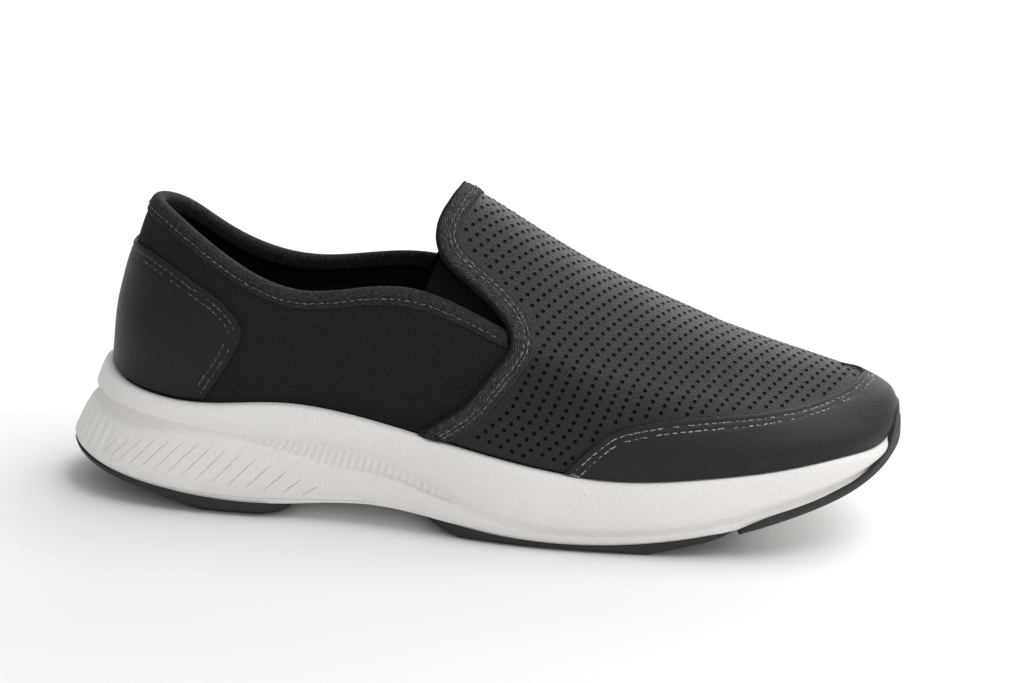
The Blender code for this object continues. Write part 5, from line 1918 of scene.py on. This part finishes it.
class SHOE_OT_toe_rubber(bpy.types.Operator):
    """Toe rubber that runs from under the sole up over the tip of the toe"""

    bl_idname = "shoe.toe_rubber"
    bl_label = "Toe rubber"

    def execute(self, context):
        first = BUMPER_TOP["station"][0]
        top = table_curve(BUMPER_TOP["station"], BUMPER_TOP["row"])

        def place(across, up):
            at = first + (LOOP - 2 * first) * across[0]
            profile = bumper_profile(at)
            reach = top(np.minimum(at, LOOP - at))
            points = np.empty(across.shape + (3,))
            for column in range(len(at)):
                row = BUMPER_LOW + (reach[column] - BUMPER_LOW) * up[:, 0]
                points[:, column] = Curve(profile[:, column])(row)
            for _ in range(8):
                points[1:-1] = (points[:-2] + 2 * points[1:-1] + points[2:]) / 4
                points[:, 1:-1] = (points[:, :-2] + 2 * points[:, 1:-1] + points[:, 2:]) / 4
            return points

        obj = sheet_piece("toe_rubber", 170, 26, place, ["rubber"])
        walled(obj, BUMPER_THICK * 0.8)
        soften(obj, 0.00035)
        finished(obj, "black_rubber", "outsole_toe")
        return {"FINISHED"}


def soften(obj, width, angle=40, segments=2):
    """Rounds the sharp edges of a piece."""
    modifier = obj.modifiers.new("soft_edges", "BEVEL")
    modifier.width = width
    modifier.segments = segments
    modifier.limit_method = "ANGLE"
    modifier.angle_limit = math.radians(angle)
    apply_modifiers(obj)
    obj.data.shade_smooth()


class SHOE_OT_finishes(bpy.types.Operator):
    """Finishes of the solids that stay as they are"""

    bl_idname = "shoe.finishes"
    bl_label = "Finishes"

    def execute(self, context):
        for name, surface_name in PLAIN_NODES.items():
            mesh = NODES[name].data
            mesh.materials.clear()
            mesh.materials.append(finish(surface_name))
        return {"FINISHED"}


PLAIN_NODES = {
    "insole": "lining",
    "flap_lining": "lining",
    "gore_lateral": "elastic",
    "gore_medial": "elastic",
}


class SHOE_OT_stage(bpy.types.Operator):
    """Pale floor, soft studio lights and the camera"""

    bl_idname = "shoe.stage"
    bl_label = "Stage"

    def execute(self, context):
        deselect()
        bpy.ops.mesh.primitive_plane_add(size=12)
        floor = context.object
        floor.name = "studio_floor"
        bpy.ops.object.shade_smooth()
        made, tree, shader = surface("studio_floor", FLOOR_COLOUR, 0.9, 0.1)
        drift = node(tree, "ShaderNodeTexNoise", {"Vector": object_vector(tree), "Scale": 3.0, "Detail": 2.0})
        toned(tree, shader, drift.outputs["Fac"], FLOOR_COLOUR, 0.99, 1.01)
        floor.data.materials.append(made)
        world = bpy.data.worlds.new("studio_world")
        world.use_nodes = True
        sky = world.node_tree
        parts = node(
            sky, "ShaderNodeSeparateXYZ", {"Vector": sky.nodes.new("ShaderNodeTexCoord").outputs["Generated"]}
        )
        sky.nodes["Background"].inputs["Color"].default_value = (1, 1, 1, 1)
        wire(
            sky,
            sky.nodes["Background"].inputs["Strength"],
            spread(sky, parts.outputs["X"], -1.0, 1.0, 0.28, 0.76),
        )
        context.scene.world = world
        for name, place, target, size_x, size_y, power in LIGHTS:
            light = bpy.data.lights.new(name, "AREA")
            light.shape = "RECTANGLE"
            light.size, light.size_y, light.energy = size_x, size_y, power
            obj = bpy.data.objects.new(name, light)
            context.scene.collection.objects.link(obj)
            obj.location = place
            obj.rotation_euler = (Vector(target) - Vector(place)).to_track_quat("-Z", "Y").to_euler()
        camera = bpy.data.cameras.new("photo_camera")
        camera.sensor_width = 36.0
        wide, tall = CAMERA["photo"]
        camera.lens = CAMERA["focal"] / wide * camera.sensor_width
        camera.shift_x = (wide / 2 - CAMERA["centre"][0]) / wide
        camera.shift_y = (CAMERA["centre"][1] - tall / 2) / wide
        camera.clip_end = 50
        obj = bpy.data.objects.new("photo_camera", camera)
        context.scene.collection.objects.link(obj)
        turn, rise, roll = (math.radians(CAMERA[key]) for key in ("azimuth", "elevation", "roll"))
        back = Vector((math.sin(turn) * math.cos(rise), -math.cos(turn) * math.cos(rise), math.sin(rise)))
        right = Vector((math.cos(turn), math.sin(turn), 0))
        above = back.cross(right)
        level = right * math.cos(roll) + above * math.sin(roll)
        upright = above * math.cos(roll) - right * math.sin(roll)
        place = Vector(CAMERA["target"]) + back * CAMERA["distance"]
        obj.matrix_world = Matrix(
            (
                (level.x, upright.x, back.x, place.x),
                (level.y, upright.y, back.y, place.y),
                (level.z, upright.z, back.z, place.z),
                (0, 0, 0, 1),
            )
        )
        context.scene.camera = obj
        context.scene.view_settings.view_transform = "Standard"
        return {"FINISHED"}


FLOOR_COLOUR = (0.90, 0.895, 0.89)
# Lights: name, place, target, width, length, power in watts.
LIGHTS = (
    ("key_overhead", (0.60, 0.15, 1.6), (0.0, 0.0, 0.05), 1.8, 1.4, 21.0),
    ("rim_back", (0.5, 1.5, 0.75), (0.05, 0.0, 0.07), 1.8, 0.8, 12.0),
    ("fill_front", (0.6, -1.6, 0.5), (0.0, 0.0, 0.03), 1.6, 0.8, 2.5),
)
# Camera: angles in degrees, distance and target in metres; photo, focal and centre in pixels of the photo.
CAMERA = {
    "photo": (1024, 683),
    "azimuth": 1.5,
    "elevation": 17.5,
    "roll": 3.3,
    "distance": 0.9,
    "target": (0.0, 0.0, 0.05),
    "focal": 2518.0,
    "centre": (494.0, 363.0),
}


class SHOE_PT_panel(bpy.types.Panel):
    """Lists the pieces, their sizes and their colours"""

    bl_idname = "SHOE_PT_panel"
    bl_label = "Slip-on shoe"
    bl_space_type = "VIEW_3D"
    bl_region_type = "UI"
    bl_category = "Shoe"

    def draw(self, context):
        column = self.layout.column()
        for group_name in ("shoe_sizes", "shoe_colours"):
            values = getattr(context.scene, group_name)
            for name in values.__annotations__:
                column.prop(values, name)
        for operator in OPERATORS:
            column.operator(operator.bl_idname)


OPERATORS = (
    SHOE_OT_sole,
    SHOE_OT_pads,
    SHOE_OT_upper,
    SHOE_OT_vamp,
    SHOE_OT_holes,
    SHOE_OT_toe_cap,
    SHOE_OT_counter,
    SHOE_OT_collar,
    SHOE_OT_tape,
    SHOE_OT_stitches,
    SHOE_OT_piping,
    SHOE_OT_toe_rubber,
    SHOE_OT_finishes,
    SHOE_OT_stage,
)
CLASSES = (ShoeSizes, ShoeColours, *OPERATORS, SHOE_PT_panel)


def register():
    for made in CLASSES:
        bpy.utils.register_class(made)
    bpy.types.Scene.shoe_sizes = PointerProperty(type=ShoeSizes)
    bpy.types.Scene.shoe_colours = PointerProperty(type=ShoeColours)


def unregister():
    del bpy.types.Scene.shoe_sizes
    del bpy.types.Scene.shoe_colours
    for made in reversed(CLASSES):
        bpy.utils.unregister_class(made)


def main():
    register()
    for operator in OPERATORS:
        family, name = operator.bl_idname.split(".")
        getattr(getattr(bpy.ops, family), name)()


if __name__ == "__main__":
    main()
